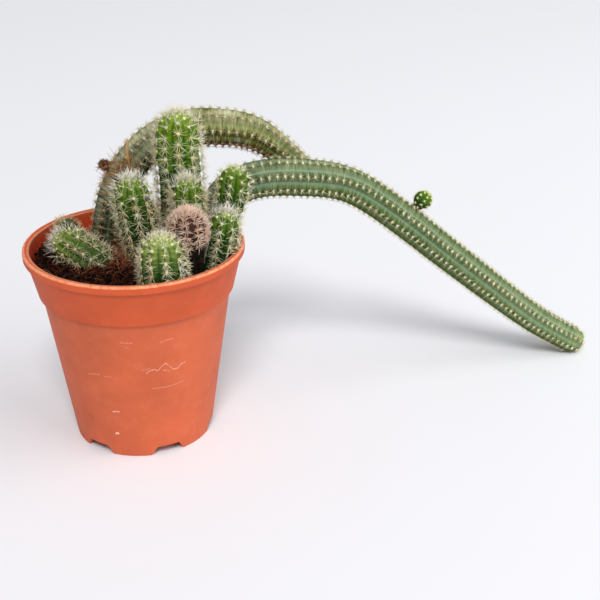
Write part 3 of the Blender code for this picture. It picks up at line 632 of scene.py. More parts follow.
def grid_quads(rings, corners, closed=False):
    """Quads between rings of corners. Each ring is closed, and the last ring meets the first if closed."""
    steps = rings if closed else rings - 1
    i, j = np.meshgrid(np.arange(steps), np.arange(corners), indexing="ij")
    near, far = i * corners, (i + 1) % rings * corners
    after = (j + 1) % corners
    return np.stack((near + j, far + j, far + after, near + after), axis=-1).reshape(-1, 4)


def end_fans(rings, corners):
    """Triangles from the first ring to the point after the grid, and from the last ring to the next point."""
    j = np.arange(corners)
    after = (j + 1) % corners
    top = (rings - 1) * corners
    centre = np.full(corners, rings * corners)
    return np.concatenate((
        np.stack((after, centre, j), axis=1), np.stack((top + j, centre + 1, top + after), axis=1)))


def tubes(paths, radii, corners):
    """Points, quads and triangles of closed tubes, one along each path.

    A path is a row of points. Round each point stands a ring of corners at the tube's radius there, square to
    the path. The end rings are closed by fans of triangles.
    """
    count, steps = paths.shape[:2]
    along = unit(np.gradient(paths, axis=1))
    spare = np.eye(3)[np.argmin(np.abs(along[:, 0]), axis=1)]
    side = unit(np.cross(along, spare[:, None]))
    up = np.cross(side, along)
    angle = np.arange(corners) * math.tau / corners
    out = np.cos(angle)[:, None] * side[:, :, None] + np.sin(angle)[:, None] * up[:, :, None]
    points = paths[:, :, None] + radii[:, :, None, None] * out
    fan = np.arange(1, corners - 1)
    foot = np.stack((np.zeros_like(fan), fan, fan + 1), axis=1)
    caps = np.concatenate((foot, foot[:, ::-1] + (steps - 1) * corners))
    shift = np.arange(count) * steps * corners
    quads = grid_quads(steps, corners)[None] + shift[:, None, None]
    triangles = caps[None] + shift[:, None, None]
    return points.reshape(-1, 3), quads.reshape(-1, 4), triangles.reshape(-1, 3)


def new_material(name, roughness, gloss=0.5):
    """A Principled material with a roughness and a specular level, its tree and its shader."""
    material = bpy.data.materials.new(name)
    material.use_nodes = True
    shader = material.node_tree.nodes["Principled BSDF"]
    shader.inputs["Roughness"].default_value = roughness
    shader.inputs["Specular IOR Level"].default_value = gloss
    return material, material.node_tree, shader


def faded(colour, share):
    """A colour darkened to a share of itself."""
    return tuple(share * value for value in colour)


def add_node(tree, kind, settings=None, **inputs):
    """A node of a kind, with its settings, and its inputs set to numbers or linked to sockets."""
    node = tree.nodes.new("ShaderNode" + kind)
    for label, value in (settings or {}).items():
        setattr(node, label, value)
    for label, value in inputs.items():
        found = node.inputs[int(label[1:])] if label[0] == "i" and label[1:].isdigit() else node.inputs[label]
        if isinstance(value, bpy.types.NodeSocket):
            tree.links.new(value, found)
        else:
            found.default_value = value
    return node


def maths(tree, operation, first, second=0.0):
    """The result of a Math node."""
    return add_node(tree, "Math", {"operation": operation}, i0=first, i1=second).outputs[0]


def times(tree, first, second):
    """The product of two values."""
    return maths(tree, "MULTIPLY", first, second)


def mix(tree, share, first, second, blend="MIX"):
    """A colour mixed from two by a share."""
    node = add_node(tree, "Mix", {"data_type": "RGBA", "blend_type": blend}, i0=share)
    for socket, value in ((node.inputs[6], first), (node.inputs[7], second)):
        if isinstance(value, bpy.types.NodeSocket):
            tree.links.new(value, socket)
        else:
            socket.default_value = (*value, 1.0)
    return node.outputs[2]


def ramp(tree, share, stops):
    """A colour read from stops by a share."""
    node = add_node(tree, "ValToRGB", Fac=share)
    elements = node.color_ramp.elements
    while len(elements) < len(stops):
        elements.new(0.5)
    for element, (position, colour) in zip(elements, stops):
        element.position = position
        element.color = (*colour, 1.0)
    return node.outputs[0]


def span(tree, value, low, high):
    """A value stretched so that low becomes 0 and high becomes 1, clamped."""
    node = add_node(tree, "MapRange", {"clamp": True}, Value=value)
    node.inputs["From Min"].default_value = low
    node.inputs["From Max"].default_value = high
    return node.outputs[0]


def named_value(tree, label):
    """The mesh's own attribute of that name."""
    return add_node(tree, "Attribute", {"attribute_name": label}).outputs["Fac"]


def object_place(tree):
    """The place on the object, in metres."""
    return add_node(tree, "TexCoord").outputs["Object"]


def noise(tree, where, size, detail=3.0, roughness=0.6):
    """Noise from 0 to 1 whose grain is about a size in millimetres."""
    node = add_node(tree, "TexNoise", Vector=where, Detail=detail, Roughness=roughness)
    node.inputs["Scale"].default_value = 1.0 / (size * MM)
    return node.outputs[0]


def add_bump(tree, shader, height, distance, strength=1.0):
    """Shade the surface as if it were raised by a height of 0 to 1 times a distance in millimetres."""
    bump = add_node(tree, "Bump", Height=height)
    bump.inputs["Distance"].default_value = distance * MM
    bump.inputs["Strength"].default_value = strength
    tree.links.new(bump.outputs[0], shader.inputs["Normal"])


# Pot


def wall_radius(height):
    """Outer radius of the pot's wall at a height, without its lip."""
    body = BASE_RADIUS + height / STEP_HEIGHT * (BODY_TOP_RADIUS - BASE_RADIUS)
    share = (height - STEP_HEIGHT) / (POT_HEIGHT - LIP_DROP - STEP_HEIGHT)
    collar = COLLAR_FOOT_RADIUS + share * (COLLAR_TOP_RADIUS - COLLAR_FOOT_RADIUS)
    return np.where(height >= STEP_HEIGHT, collar, body)


def arc(centre, reach, start, end):
    """Points on a circle, or an ellipse of two reaches, round a centre between two angles in degrees."""
    angle = np.radians(np.linspace(start, end, ARC_STEPS))
    across, up = np.broadcast_to(reach, 2)
    return list(zip(centre[0] + across * np.cos(angle), centre[1] + up * np.sin(angle)))


def pot_profile(wall):
    """Radius and height round the pot's section, from the floor up the inside and down the outside."""
    floor = FLOOR_UNDERSIDE + FLOOR_THICKNESS
    lip_foot = POT_HEIGHT - LIP_DROP
    rim = POT_HEIGHT - LIP_DISH
    corner = float(wall_radius(floor + FLOOR_FILLET)) - wall
    bore = COLLAR_TOP_RADIUS - wall
    inner, outer = LIP_INNER_ROUND, LIP_OUTER_ROUND
    lip_corner = LIP_FOOT_ROUND[1]
    crease, crease_drop = LIP_CREASE
    rows = [(DRAIN_RADIUS, floor)]
    rows += arc((corner - FLOOR_FILLET, floor + FLOOR_FILLET), FLOOR_FILLET, -90, 0)
    rows += arc((BODY_TOP_RADIUS - wall + STEP_ROUND, STEP_HEIGHT - STEP_ROUND), STEP_ROUND, 180, 90)
    ledge = (COLLAR_FOOT_RADIUS - wall - COLLAR_FILLET, STEP_HEIGHT + COLLAR_FILLET)
    rows += arc(ledge, COLLAR_FILLET, -90, 0)
    rows += [(bore, lip_foot), (bore, rim - inner - LIP_DUST_DEPTH)]
    rows += arc((bore + inner, rim - inner), inner, 180, 90)
    rows += [(COLLAR_TOP_RADIUS, rim - LIP_HOLLOW)]
    rows += arc((LIP_RADIUS - outer, POT_HEIGHT - outer), outer, 105, 0)
    rows += arc((LIP_RADIUS - lip_corner, lip_foot + lip_corner), LIP_FOOT_ROUND, 0, -90)
    rows += [(COLLAR_TOP_RADIUS + crease, lip_foot), (COLLAR_TOP_RADIUS - crease, lip_foot - crease_drop)]
    rows += arc((COLLAR_FOOT_RADIUS - STEP_ROUND, STEP_HEIGHT + STEP_ROUND), STEP_ROUND, 0, -90)
    rows += [(BODY_TOP_RADIUS + STEP_CREASE[0], STEP_HEIGHT), (BODY_TOP_RADIUS, STEP_HEIGHT - STEP_CREASE[1])]
    rows += [(float(wall_radius(height)), height) for height in BODY_ROWS]
    rows += arc((BASE_RADIUS - FOOT_ROUND, FOOT_ROUND), FOOT_ROUND, 0, -90)
    rows += [(BASE_RADIUS - wall, 0.0), (float(wall_radius(FLOOR_UNDERSIDE)) - wall, FLOOR_UNDERSIDE)]
    rows += [(DRAIN_RADIUS, FLOOR_UNDERSIDE)]
    return np.array(rows)


def pot_columns(notch_height):
    """Angles round the pot, and how high the foot is cut away at each.

    A notch rises in a straight line from its edge at the table to its top edge and is level between. Round
    that corner the line bends to level by a parabola.
    """
    across = np.linspace(-NOTCH_HALF_ANGLE, NOTCH_HALF_ANGLE, NOTCH_COLUMNS)
    rise = (NOTCH_HALF_ANGLE - np.abs(across)) / (NOTCH_HALF_ANGLE - NOTCH_TOP_HALF_ANGLE)
    bend = 1.0 - (1.0 + NOTCH_CORNER - rise) ** 2 / (4.0 * NOTCH_CORNER)
    share = np.where(rise < 1.0 - NOTCH_CORNER, rise, np.where(rise < 1.0 + NOTCH_CORNER, bend, 1.0))
    cut = notch_height * share
    pitch = math.tau / NOTCH_COUNT
    rest = pitch - 2.0 * NOTCH_HALF_ANGLE
    between = NOTCH_HALF_ANGLE + rest * np.arange(1, FOOT_COLUMNS) / FOOT_COLUMNS
    angles = np.concatenate((across, between))
    cuts = np.concatenate((cut, np.zeros(len(between))))
    first = -math.pi / 2 + NOTCH_FROM_FRONT
    starts = first + pitch * np.arange(NOTCH_COUNT)
    return (starts[:, None] + angles).ravel(), np.tile(cuts, NOTCH_COUNT)


def drain_cutters():
    """Cylinders through the pot's floor, one in line with each notch."""
    cutters = bpy.data.collections.new("drain_cutters")
    bpy.context.scene.collection.children.link(cutters)
    turns = np.arange(DRAIN_SIDES) * math.tau / DRAIN_SIDES
    low, high = FLOOR_UNDERSIDE - DRAIN_CUTTER_REACH, FLOOR_UNDERSIDE + FLOOR_THICKNESS + DRAIN_CUTTER_REACH
    for index in range(NOTCH_COUNT):
        angle = -math.pi / 2 + NOTCH_FROM_FRONT + index * math.tau / NOTCH_COUNT
        centre = DRAIN_RING_RADIUS * np.array((math.cos(angle), math.sin(angle)))
        ring = centre + DRAIN_RADIUS * np.stack((np.cos(-turns), np.sin(-turns)), axis=1)
        points = [(x, y, z) for z in (low, high) for x, y in ring]
        points += [(*centre, low), (*centre, high)]
        mesh = bpy.data.meshes.new("drain")
        faces = grid_quads(2, DRAIN_SIDES).tolist() + end_fans(2, DRAIN_SIDES).tolist()
        mesh.from_pydata(place(points).tolist(), [], faces)
        cutters.objects.link(bpy.data.objects.new("drain", mesh))
    return cutters


def scratch_mask(tree, around, up, run, width):
    """1 on a run of places on the wall, falling to 0 at a width above and below it.

    A curve through the places gives the scratch's height for each place round the wall between its ends.
    """
    places = np.array(run)
    low = places.min(axis=0)
    reach = np.maximum(places.max(axis=0) - low, 0.2)
    share = maths(tree, "DIVIDE", maths(tree, "SUBTRACT", around, low[0]), reach[0])
    curve = add_node(tree, "FloatCurve", Value=share)
    line = curve.mapping.curves[0]
    shares = (places - low) / reach
    while len(line.points) < len(shares):
        line.points.new(0.5, 0.5)
    for point, place_on_curve in zip(line.points, shares):
        point.location = place_on_curve
        point.handle_type = "VECTOR"
    curve.mapping.update()
    height = maths(tree, "ADD", times(tree, curve.outputs[0], reach[1]), low[1])
    distance = maths(tree, "ABSOLUTE", maths(tree, "SUBTRACT", up, height))
    is_past = maths(tree, "GREATER_THAN", share, 0.0)
    is_short = maths(tree, "LESS_THAN", share, 1.0)
    return times(tree, span(tree, distance, width, 0.3 * width), times(tree, is_past, is_short))


def pot_material(settings):
    """Matte orange plastic: faint mottling, scuffs and scratches, a painted highlight along the worn rim, and
    a darker, redder inside of painted shade and glow.
    """
    material, tree, shader = new_material("terracotta_plastic", settings.roughness, gloss=0.3)
    where = object_place(tree)
    centred = add_node(tree, "Mapping", Vector=where)
    centred.inputs["Location"].default_value = tuple(-POT_AXIS * MM)
    x, y, z = add_node(tree, "SeparateXYZ", Vector=centred.outputs[0]).outputs
    around = times(tree, maths(tree, "ARCTAN2", x, times(tree, y, -1.0)), SCRATCH_RADIUS)
    up = times(tree, z, 1.0 / MM)
    outside = named_value(tree, "outside")
    mottle = span(tree, noise(tree, where, 16.0, 4.0), 0.3, 0.7)
    colour = mix(tree, mottle, settings.colour, faded(settings.colour, DULL_SHARE))
    cloud = span(tree, noise(tree, where, 5.0, 5.0, 0.7), 0.5, 0.78)
    colour = mix(tree, times(tree, cloud, 0.12), colour, settings.scuff)
    # Inside the rim: painted shade and a painted red glow of light through the thin wall, with stains over it
    stain = times(tree, span(tree, noise(tree, where, 2.2, 4.0), 0.35, 0.7), 0.35)
    inner = mix(tree, stain, settings.shade, faded(settings.shade, STAIN_SHADE))
    colour = mix(tree, named_value(tree, "inside"), colour, inner)
    collar = times(tree, maths(tree, "GREATER_THAN", up, STEP_HEIGHT), outside)
    colour = mix(tree, collar, colour, COLLAR_TINT, "MULTIPLY")
    # The outer rim is paled along its edge, a painted highlight over wear; the inner edge is dusty
    worn = span(tree, noise(tree, where, 1.6, 4.0), 0.25, 0.55)
    for label, tint in (("rim", settings.scuff), ("edge", settings.dust)):
        colour = mix(tree, times(tree, named_value(tree, label), worn), colour, tint)
    broken = span(tree, noise(tree, where, 0.45, 2.0), 0.3, 0.6)
    marks = 0.0
    for run, strength, width in SCRATCHES:
        mark = scratch_mask(tree, around, up, run, width)
        marks = maths(tree, "MAXIMUM", times(tree, mark, strength), marks)
    marks = times(tree, times(tree, marks, broken), outside)
    colour = mix(tree, maths(tree, "MINIMUM", marks, 1.0), colour, SCRATCH_COLOUR)
    on_wall = add_node(tree, "CombineXYZ", X=around, Y=up).outputs[0]
    for turn, height, radius in SPECKS:
        offset = add_node(tree, "VectorMath", {"operation": "DISTANCE"}, i0=on_wall, i1=(turn, height, 0.0))
        speck = span(tree, offset.outputs["Value"], radius, 0.4 * radius)
        colour = mix(tree, times(tree, speck, SPECK_SHARE), colour, SPECK_COLOUR)
    tree.links.new(colour, shader.inputs["Base Color"])
    add_bump(tree, shader, noise(tree, where, 0.6, 3.0), 0.03, 0.5)
    return material


def weld(mesh):
    """Merge points that lie together and take away the faces that this leaves without area."""
    work = bmesh.new()
    work.from_mesh(mesh)
    bmesh.ops.remove_doubles(work, verts=work.verts, dist=WELD_DISTANCE * MM)
    bmesh.ops.dissolve_degenerate(work, edges=work.edges, dist=WELD_DISTANCE * MM)
    work.to_mesh(mesh)
    work.free()


def make_pot(settings):
    """Carry the pot's section round its axis and lift the foot in the notches, then cut the drain holes.

    Each point of the section below a notch's cut moves up to the cut, along the wall's taper.
    """
    wall = settings.wall / MM
    rows = pot_profile(wall)
    angles, cuts = pot_columns(settings.notch_height / MM)
    is_foot = rows[:, 1] < FLOOR_UNDERSIDE
    height = np.maximum(rows[:, 1][:, None], np.where(is_foot, 1.0, 0.0)[:, None] * cuts)
    radius = rows[:, 0][:, None] + wall_radius(height) - wall_radius(rows[:, 1])[:, None]
    points = np.stack((radius * np.cos(angles), radius * np.sin(angles), height), axis=-1)
    is_deep = rows[:, 0] < wall_radius(rows[:, 1]) - INSIDE_SHARE * wall
    inside = is_deep & (rows[:, 1] > INSIDE_SPAN[0]) & (rows[:, 1] < INSIDE_SPAN[1])
    is_top = rows[:, 1] > POT_HEIGHT - LIP_TOP_DEPTH
    parts = {
        "inside": inside, "outside": ~inside, "rim": is_top & (rows[:, 0] > LIP_RADIUS - RIM_HIGHLIGHT_WIDTH),
        "edge": is_top & (rows[:, 0] < COLLAR_TOP_RADIUS - EDGE_INSET)}
    pot = make_piece(
        "pot_shell", points.reshape(-1, 3), grid_quads(len(rows), len(angles), closed=True),
        material=pot_material(settings),
        values={label: np.repeat(part, len(angles)) for label, part in parts.items()},
        stands_for="pot")
    weld(pot.data)
    cutters = drain_cutters()
    cut = pot.modifiers.new("drain holes", "BOOLEAN")
    cut.operand_type = "COLLECTION"
    cut.collection = cutters
    bpy.context.view_layer.update()
    holed = bpy.data.meshes.new_from_object(pot.evaluated_get(bpy.context.evaluated_depsgraph_get()))
    pot.modifiers.remove(cut)
    if len(holed.vertices) == len(pot.data.vertices):
        raise RuntimeError("The drain holes weren't cut")
    pot.data = holed
    for cutter in list(cutters.objects):
        bpy.data.objects.remove(cutter)
    bpy.data.collections.remove(cutters)
    holed.shade_smooth()
    holed.set_sharp_from_angle(angle=SHARP_ANGLE)


# Soil


def soil_height(x, y, settings):
    """Height of the soil: a level, a slope, a round mound, a bank at the wall and soft lumps.

    The mound and the bank are bell curves of the distance from their middles. The lumps are the product of a
    sine wave along each axis, plus a slanting one.
    """
    mound = np.exp(-((x - MOUND_X) ** 2 + (y - MOUND_Y) ** 2) / (2.0 * MOUND_WIDTH ** 2))
    bank = BANK_HEIGHT * np.exp(-((x - BANK_X) ** 2 + (y - BANK_Y) ** 2) / (2.0 * BANK_WIDTH ** 2))
    lumps = np.sin(LUMP_TURNS[0] * x + LUMP_STARTS[0]) * np.sin(LUMP_TURNS[1] * y + LUMP_STARTS[1])
    lumps = lumps + SLANT_SHARE * np.sin(SLANT_TURNS[0] * x - SLANT_TURNS[1] * y)
    return (settings.level + settings.mound * mound) / MM + SOIL_SLOPE * y + LUMP_HEIGHT * lumps + bank


def soil_edge(settings, pot, inset):
    """Radius of the soil's top, less an inset."""
    return float(wall_radius(settings.level / MM)) - pot.wall / MM - inset


def crumbled(points):
    """Fine relief of peat: two grains of smooth noise, each without its sign, so that it stands in humps."""
    coarse = np.abs(ripple(points, COARSE_RELIEF[0], SEED + 1))
    fine = np.abs(ripple(points, FINE_RELIEF[0], SEED + 2))
    return COARSE_RELIEF[1] * coarse + FINE_RELIEF[1] * fine - RELIEF_DROP


def soil_material(settings):
    """Dark peat with redder, drier grains."""
    material, tree, shader = new_material("peat", 1.0, gloss=0.08)
    where = object_place(tree)
    grain = span(tree, noise(tree, where, 0.7, 5.0, 0.75), 0.35, 0.75)
    dry = span(tree, noise(tree, where, 3.2, 4.0), 0.42, 0.66)
    colour = mix(tree, grain, settings.peat, PEAT_GRAIN)
    colour = mix(tree, times(tree, dry, 0.5), colour, PEAT_DRY)
    tree.links.new(colour, shader.inputs["Base Color"])
    add_bump(tree, shader, noise(tree, where, 0.35, 4.0, 0.7), 0.25)
    return material


def make_soil(settings, pot):
    """Soil as one closed body: its flat underside, its side along the pot's wall and its crumbled top.

    The top is a polar grid whose height is the soil's height plus fine relief, which fades at the wall.
    """
    wall = pot.wall / MM + SOIL_CLEARANCE
    floor = FLOOR_UNDERSIDE + FLOOR_THICKNESS + SOIL_CLEARANCE
    turns = np.arange(SOIL_COLUMNS) * math.tau / SOIL_COLUMNS
    around = np.stack((np.cos(turns), np.sin(turns)), axis=1)
    edge = float(wall_radius(settings.level / MM - SOIL_EDGE_DROP)) - wall
    side = [(float(wall_radius(height)) - wall, height) for height in (floor, *SOIL_SIDE_ROWS)]
    shares = np.sqrt(np.linspace(1.0, 0.0, SOIL_RINGS + 1)[:-1])
    flat = edge * shares[:, None, None] * around
    height = soil_height(flat[..., 0], flat[..., 1], settings)
    top = np.concatenate((flat, height[..., None]), axis=-1)
    top[..., 2] += crumbled(top) * smooth_step(1.0 - shares, 0.0, SOIL_EDGE_FADE)[:, None]
    rings = [np.column_stack((around * radius, np.full(SOIL_COLUMNS, level))) for radius, level in side]
    grid = np.concatenate((np.array(rings), top))
    centre = (0.0, 0.0, float(soil_height(0.0, 0.0, settings)))
    points = np.concatenate((grid.reshape(-1, 3), [(0.0, 0.0, floor), centre]))
    quads = grid_quads(len(grid), SOIL_COLUMNS)[:, ::-1]
    fans = end_fans(len(grid), SOIL_COLUMNS)[:, ::-1]
    make_piece("soil_body", points, quads, fans, soil_material(settings), stands_for="soil")


def scatter(count, random, edge):
    """Even places on a disc inside an edge."""
    reach = edge * np.sqrt(random.random(count))
    turn = math.tau * random.random(count)
    return np.stack((reach * np.cos(turn), reach * np.sin(turn)), axis=1)


def ball_faces():
    """Twelve points and twenty triangles of an icosahedron."""
    golden = (1.0 + math.sqrt(5.0)) / 2.0
    points = [(0.0, a, b * golden) for a in (-1, 1) for b in (-1, 1)]
    points += [(a, b * golden, 0.0) for a in (-1, 1) for b in (-1, 1)]
    points += [(b * golden, 0.0, a) for a in (-1, 1) for b in (-1, 1)]
    points = unit(np.array(points))
    apart = np.linalg.norm(points[:, None] - points[None], axis=-1)
    near = (apart > 0.1) & (apart < 1.2)
    faces = []
    for a in range(12):
        for b in range(a + 1, 12):
            for c in range(b + 1, 12):
                if near[a, b] and near[b, c] and near[a, c]:
                    normal = np.cross(points[b] - points[a], points[c] - points[a])
                    faces.append((a, b, c) if normal @ points[a] > 0 else (a, c, b))
    return points, np.array(faces)


def crumb_material(settings):
    """Crumbs from near black to red brown, by each crumb's own tone."""
    material, tree, shader = new_material("crumb", 1.0, gloss=0.08)
    colour = ramp(tree, named_value(tree, "tone"), ((0.0, settings.peat), *CRUMB_STOPS))
    colour = mix(tree, noise(tree, object_place(tree), 0.3, 2.0), colour, CRUMB_GRAIN, "MULTIPLY")
    tree.links.new(colour, shader.inputs["Base Color"])
    return material


def make_crumbs(settings, pot):
    """Scatter squashed, uneven balls of peat over the soil.

    A crumb's points are an icosahedron's, each pushed in or out at random, scaled along three axes, turned
    about the upright and sunk a little into the soil.
    """
    random = np.random.default_rng(SEED + 3)
    flat = scatter(settings.crumbs, random, soil_edge(settings, pot, CRUMB_INSET))
    base, faces = ball_faces()
    size = settings.crumb_size / MM * random.lognormal(0.0, CRUMB_SPREAD, settings.crumbs)
    size = np.minimum(size, CRUMB_LIMIT)
    squash = random.uniform(*CRUMB_SQUASH, (settings.crumbs, 1, 3))
    dents = random.uniform(*CRUMB_DENTS, (settings.crumbs, len(base), 1))
    local = base[None] * squash * dents * size[:, None, None]
    turn = random.uniform(0.0, math.tau, settings.crumbs)[:, None]
    turned = np.stack((
        local[..., 0] * np.cos(turn) - local[..., 1] * np.sin(turn),
        local[..., 0] * np.sin(turn) + local[..., 1] * np.cos(turn), local[..., 2]), axis=-1)
    seat = np.column_stack((flat, soil_height(flat[:, 0], flat[:, 1], settings)))
    seat[:, 2] += crumbled(seat) + CRUMB_LIFT * size
    points = seat[:, None] + turned
    triangles = faces[None] + len(base) * np.arange(settings.crumbs)[:, None, None]
    tone = np.repeat(random.beta(*CRUMB_TONES, settings.crumbs), len(base))
    make_piece("soil_crumbs", points.reshape(-1, 3), triangles=triangles, material=crumb_material(settings),
               values={"tone": tone})


def fibre_material(settings):
    """Coconut fibre, from dark brown to pale straw by each fibre's tone."""
    material, tree, shader = new_material("coir", 0.9, gloss=0.15)
    stops = ((0.0, faded(settings.coir, DARK_COIR)), (0.5, settings.coir), *COIR_STOPS)
    tree.links.new(ramp(tree, named_value(tree, "tone"), stops), shader.inputs["Base Color"])
    return material


def make_fibres(settings, pot):
    """Strew curved coconut fibres over the soil, thickest on the mound.

    A fibre is an arc: it leaves its foot in a random direction, turns at a steady rate to one side and rises
    and falls like half a sine wave.
    """
    random = np.random.default_rng(SEED + 4)
    edge = soil_edge(settings, pot, FIBRE_INSET)
    count = settings.fibres
    crowded = int(MOUND_SHARE * count)
    near = np.array(MOUND_MIDDLE) + random.normal(0.0, MOUND_SPREAD, (crowded, 2))
    flat = np.concatenate((near, scatter(count - crowded, random, edge)))
    flat *= np.minimum(1.0, edge / np.maximum(np.hypot(*flat.T), 1e-6))[:, None]
    length = settings.fibre_length / MM * random.lognormal(0.0, FIBRE_SPREAD, count)
    steps = np.linspace(0.0, 1.0, FIBRE_POINTS)
    heading = random.uniform(0.0, math.tau, count)[:, None]
    heading = heading + random.normal(0.0, FIBRE_BEND, count)[:, None] * steps
    stride = length[:, None] / (len(steps) - 1)
    x = flat[:, :1] + np.cumsum(np.cos(heading) * stride, axis=1)
    y = flat[:, 1:] + np.cumsum(np.sin(heading) * stride, axis=1)
    inward = np.minimum(1.0, (edge + FIBRE_OVERHANG) / np.maximum(np.hypot(x, y), 1e-6))
    x, y = x * inward, y * inward
    rise = random.gamma(*FIBRE_RISE, count)[:, None]
    rise = rise * np.sin(math.pi * steps * random.uniform(*FIBRE_PHASE, (count, 1)))
    z = soil_height(x, y, settings) + FIBRE_LIFT + rise
    paths = np.stack((x, y, z), axis=-1)
    radii = random.uniform(*FIBRE_RADII, count)[:, None] * (1.0 - FIBRE_TAPER * steps)
    points, quads, triangles = tubes(paths, radii, 3)
    tone = random.beta(*FIBRE_TONES, count)
    tone[crowded:] *= DEEP_FIBRE_TONE
    tone = np.repeat(tone, len(steps) * 3)
    make_piece("soil_fibres", points, quads, triangles, fibre_material(settings), {"tone": tone})


# Stems


def spline(rows, count):
    """Natural cubic spline through the rows, read at evenly spaced lengths of its chords."""
    rows = np.asarray(rows, float)
    chords = np.linalg.norm(np.diff(rows[:, :3], axis=0), axis=1)
    knots = np.concatenate(([0.0], np.cumsum(chords)))
    size = len(rows)
    system = np.eye(size)
    jumps = np.zeros_like(rows)
    for i in range(1, size - 1):
        system[i, i - 1:i + 2] = chords[i - 1], 2.0 * (chords[i - 1] + chords[i]), chords[i]
        jumps[i] = 6.0 * ((rows[i + 1] - rows[i]) / chords[i] - (rows[i] - rows[i - 1]) / chords[i - 1])
    bends = np.linalg.solve(system, jumps)
    along = np.linspace(0.0, knots[-1], count)
    part = np.clip(np.searchsorted(knots, along, side="right") - 1, 0, size - 2)
    length = chords[part][:, None]
    before = (knots[part + 1] - along)[:, None] / length
    after = 1.0 - before
    sag = (before ** 3 - before) * bends[part] + (after ** 3 - after) * bends[part + 1]
    return before * rows[part] + after * rows[part + 1] + sag * length ** 2 / 6.0


Line = namedtuple("Line", "lengths rows tangents sides")


def centre_line(route):
    """A stem's centre-line at short even steps, with the tangent and a side direction that doesn't twist."""
    fine = spline(route, SPLINE_POINTS)
    steps = np.linalg.norm(np.diff(fine[:, :3], axis=0), axis=1)
    reached = np.concatenate(([0.0], np.cumsum(steps)))
    lengths = np.linspace(0.0, reached[-1], int(round(reached[-1] / ROUTE_STEP)) + 1)
    rows = np.stack([np.interp(lengths, reached, fine[:, k]) for k in range(4)], axis=1)
    tangents = unit(np.gradient(rows[:, :3], axis=0))
    sides = np.zeros_like(tangents)
    side = np.array((0.0, -1.0, 0.0))
    for i, tangent in enumerate(tangents):
        side = unit(side - tangent * (side @ tangent))
        sides[i] = side
    return Line(lengths, rows, tangents, sides)


def read_at(line, values, lengths):
    """Values of the centre-line at other lengths along it."""
    flat = np.ravel(lengths)
    read = np.stack([np.interp(flat, line.lengths, values[:, k]) for k in range(values.shape[1])], axis=-1)
    return read.reshape(*np.shape(lengths), values.shape[1])


def rib_waves(stem, travel, turn):
    """How near each place is to a crest, and along it to an areole, both from 0 to 1.

    The first is |cos(ribs * turn / 2)|. The second is a cosine wave of the travel over the pitch, half a
    pitch later on each second rib.
    """
    phase = stem.ribs * (turn - math.radians(stem.turn)) / 2.0
    crest = np.abs(np.cos(phase))
    is_odd = np.round(phase / math.pi) % 2
    return crest, 0.5 + 0.5 * np.cos(math.tau * (travel / stem.pitch + 0.5 * is_odd))


def skin_at(stem, line, travel, turn, relief):
    """Points of a stem's skin, and the way out of it, at distances travelled over it and turns round it.

    Past the centre-line's end the travel goes on over a round dome. The distance from the centre-line is the
    radius, less the groove's share times 1 less a power of the nearness to a crest, plus a small rise on the
    crest, less a dip times a wave along the crest that is 0 at each areole. The dip is the bump's height
    where the areoles stand a set pitch apart, and grows with the cube of the pitch. All fade at the base and
    over the dome.
    """
    end = line.lengths[-1]
    tip_radius = line.rows[-1, 3]
    polar = np.clip((travel - end) / tip_radius, 0.0, math.pi / 2)
    length = np.minimum(travel, end)
    rows = read_at(line, line.rows, length)
    tangent = unit(read_at(line, line.tangents, length))
    side = read_at(line, line.sides, length)
    side = unit(side - tangent * (side * tangent).sum(-1, keepdims=True))
    up = np.cross(side, tangent)
    out = np.cos(turn)[..., None] * side + np.sin(turn)[..., None] * up
    fade = np.clip((length - FADE_START) / FADE_LENGTH, 0.0, 1.0) * np.cos(polar)
    crest, near = rib_waves(stem, travel, turn)
    radius = rows[..., 3] * (1.0 - relief.groove * (1.0 - crest ** GROOVE_SHARPNESS) * fade)
    dip = relief.bump / MM * (stem.pitch / BUMP_PITCH) ** 3
    radius = radius + (CREST_RISE - dip * (1.0 - near)) * crest ** 3 * fade
    centre = rows[..., :3] + (np.sin(polar) * tip_radius)[..., None] * tangent
    points = centre + (radius * np.cos(polar))[..., None] * out
    points[..., 2] = np.maximum(points[..., 2], FLOOR_GAP)
    normal = unit(np.cos(polar)[..., None] * out + np.sin(polar)[..., None] * tangent)
    return points, normal, tangent


def skin_grid(stem, line, relief):
    """Travel of each ring and turn of each column of a skin's grid."""
    end = line.lengths[-1]
    count = int(round(end / (relief.ring_spacing / MM)))
    dome = end + line.rows[-1, 3] * (math.pi / 2) * np.arange(1, DOME_RINGS) / DOME_RINGS
    travel = np.concatenate((np.linspace(0.0, end, count), dome))
    columns = stem.ribs * relief.corners_a_rib
    turn = math.radians(stem.turn) + np.arange(columns) * math.tau / columns
    return np.meshgrid(travel, turn, indexing="ij")


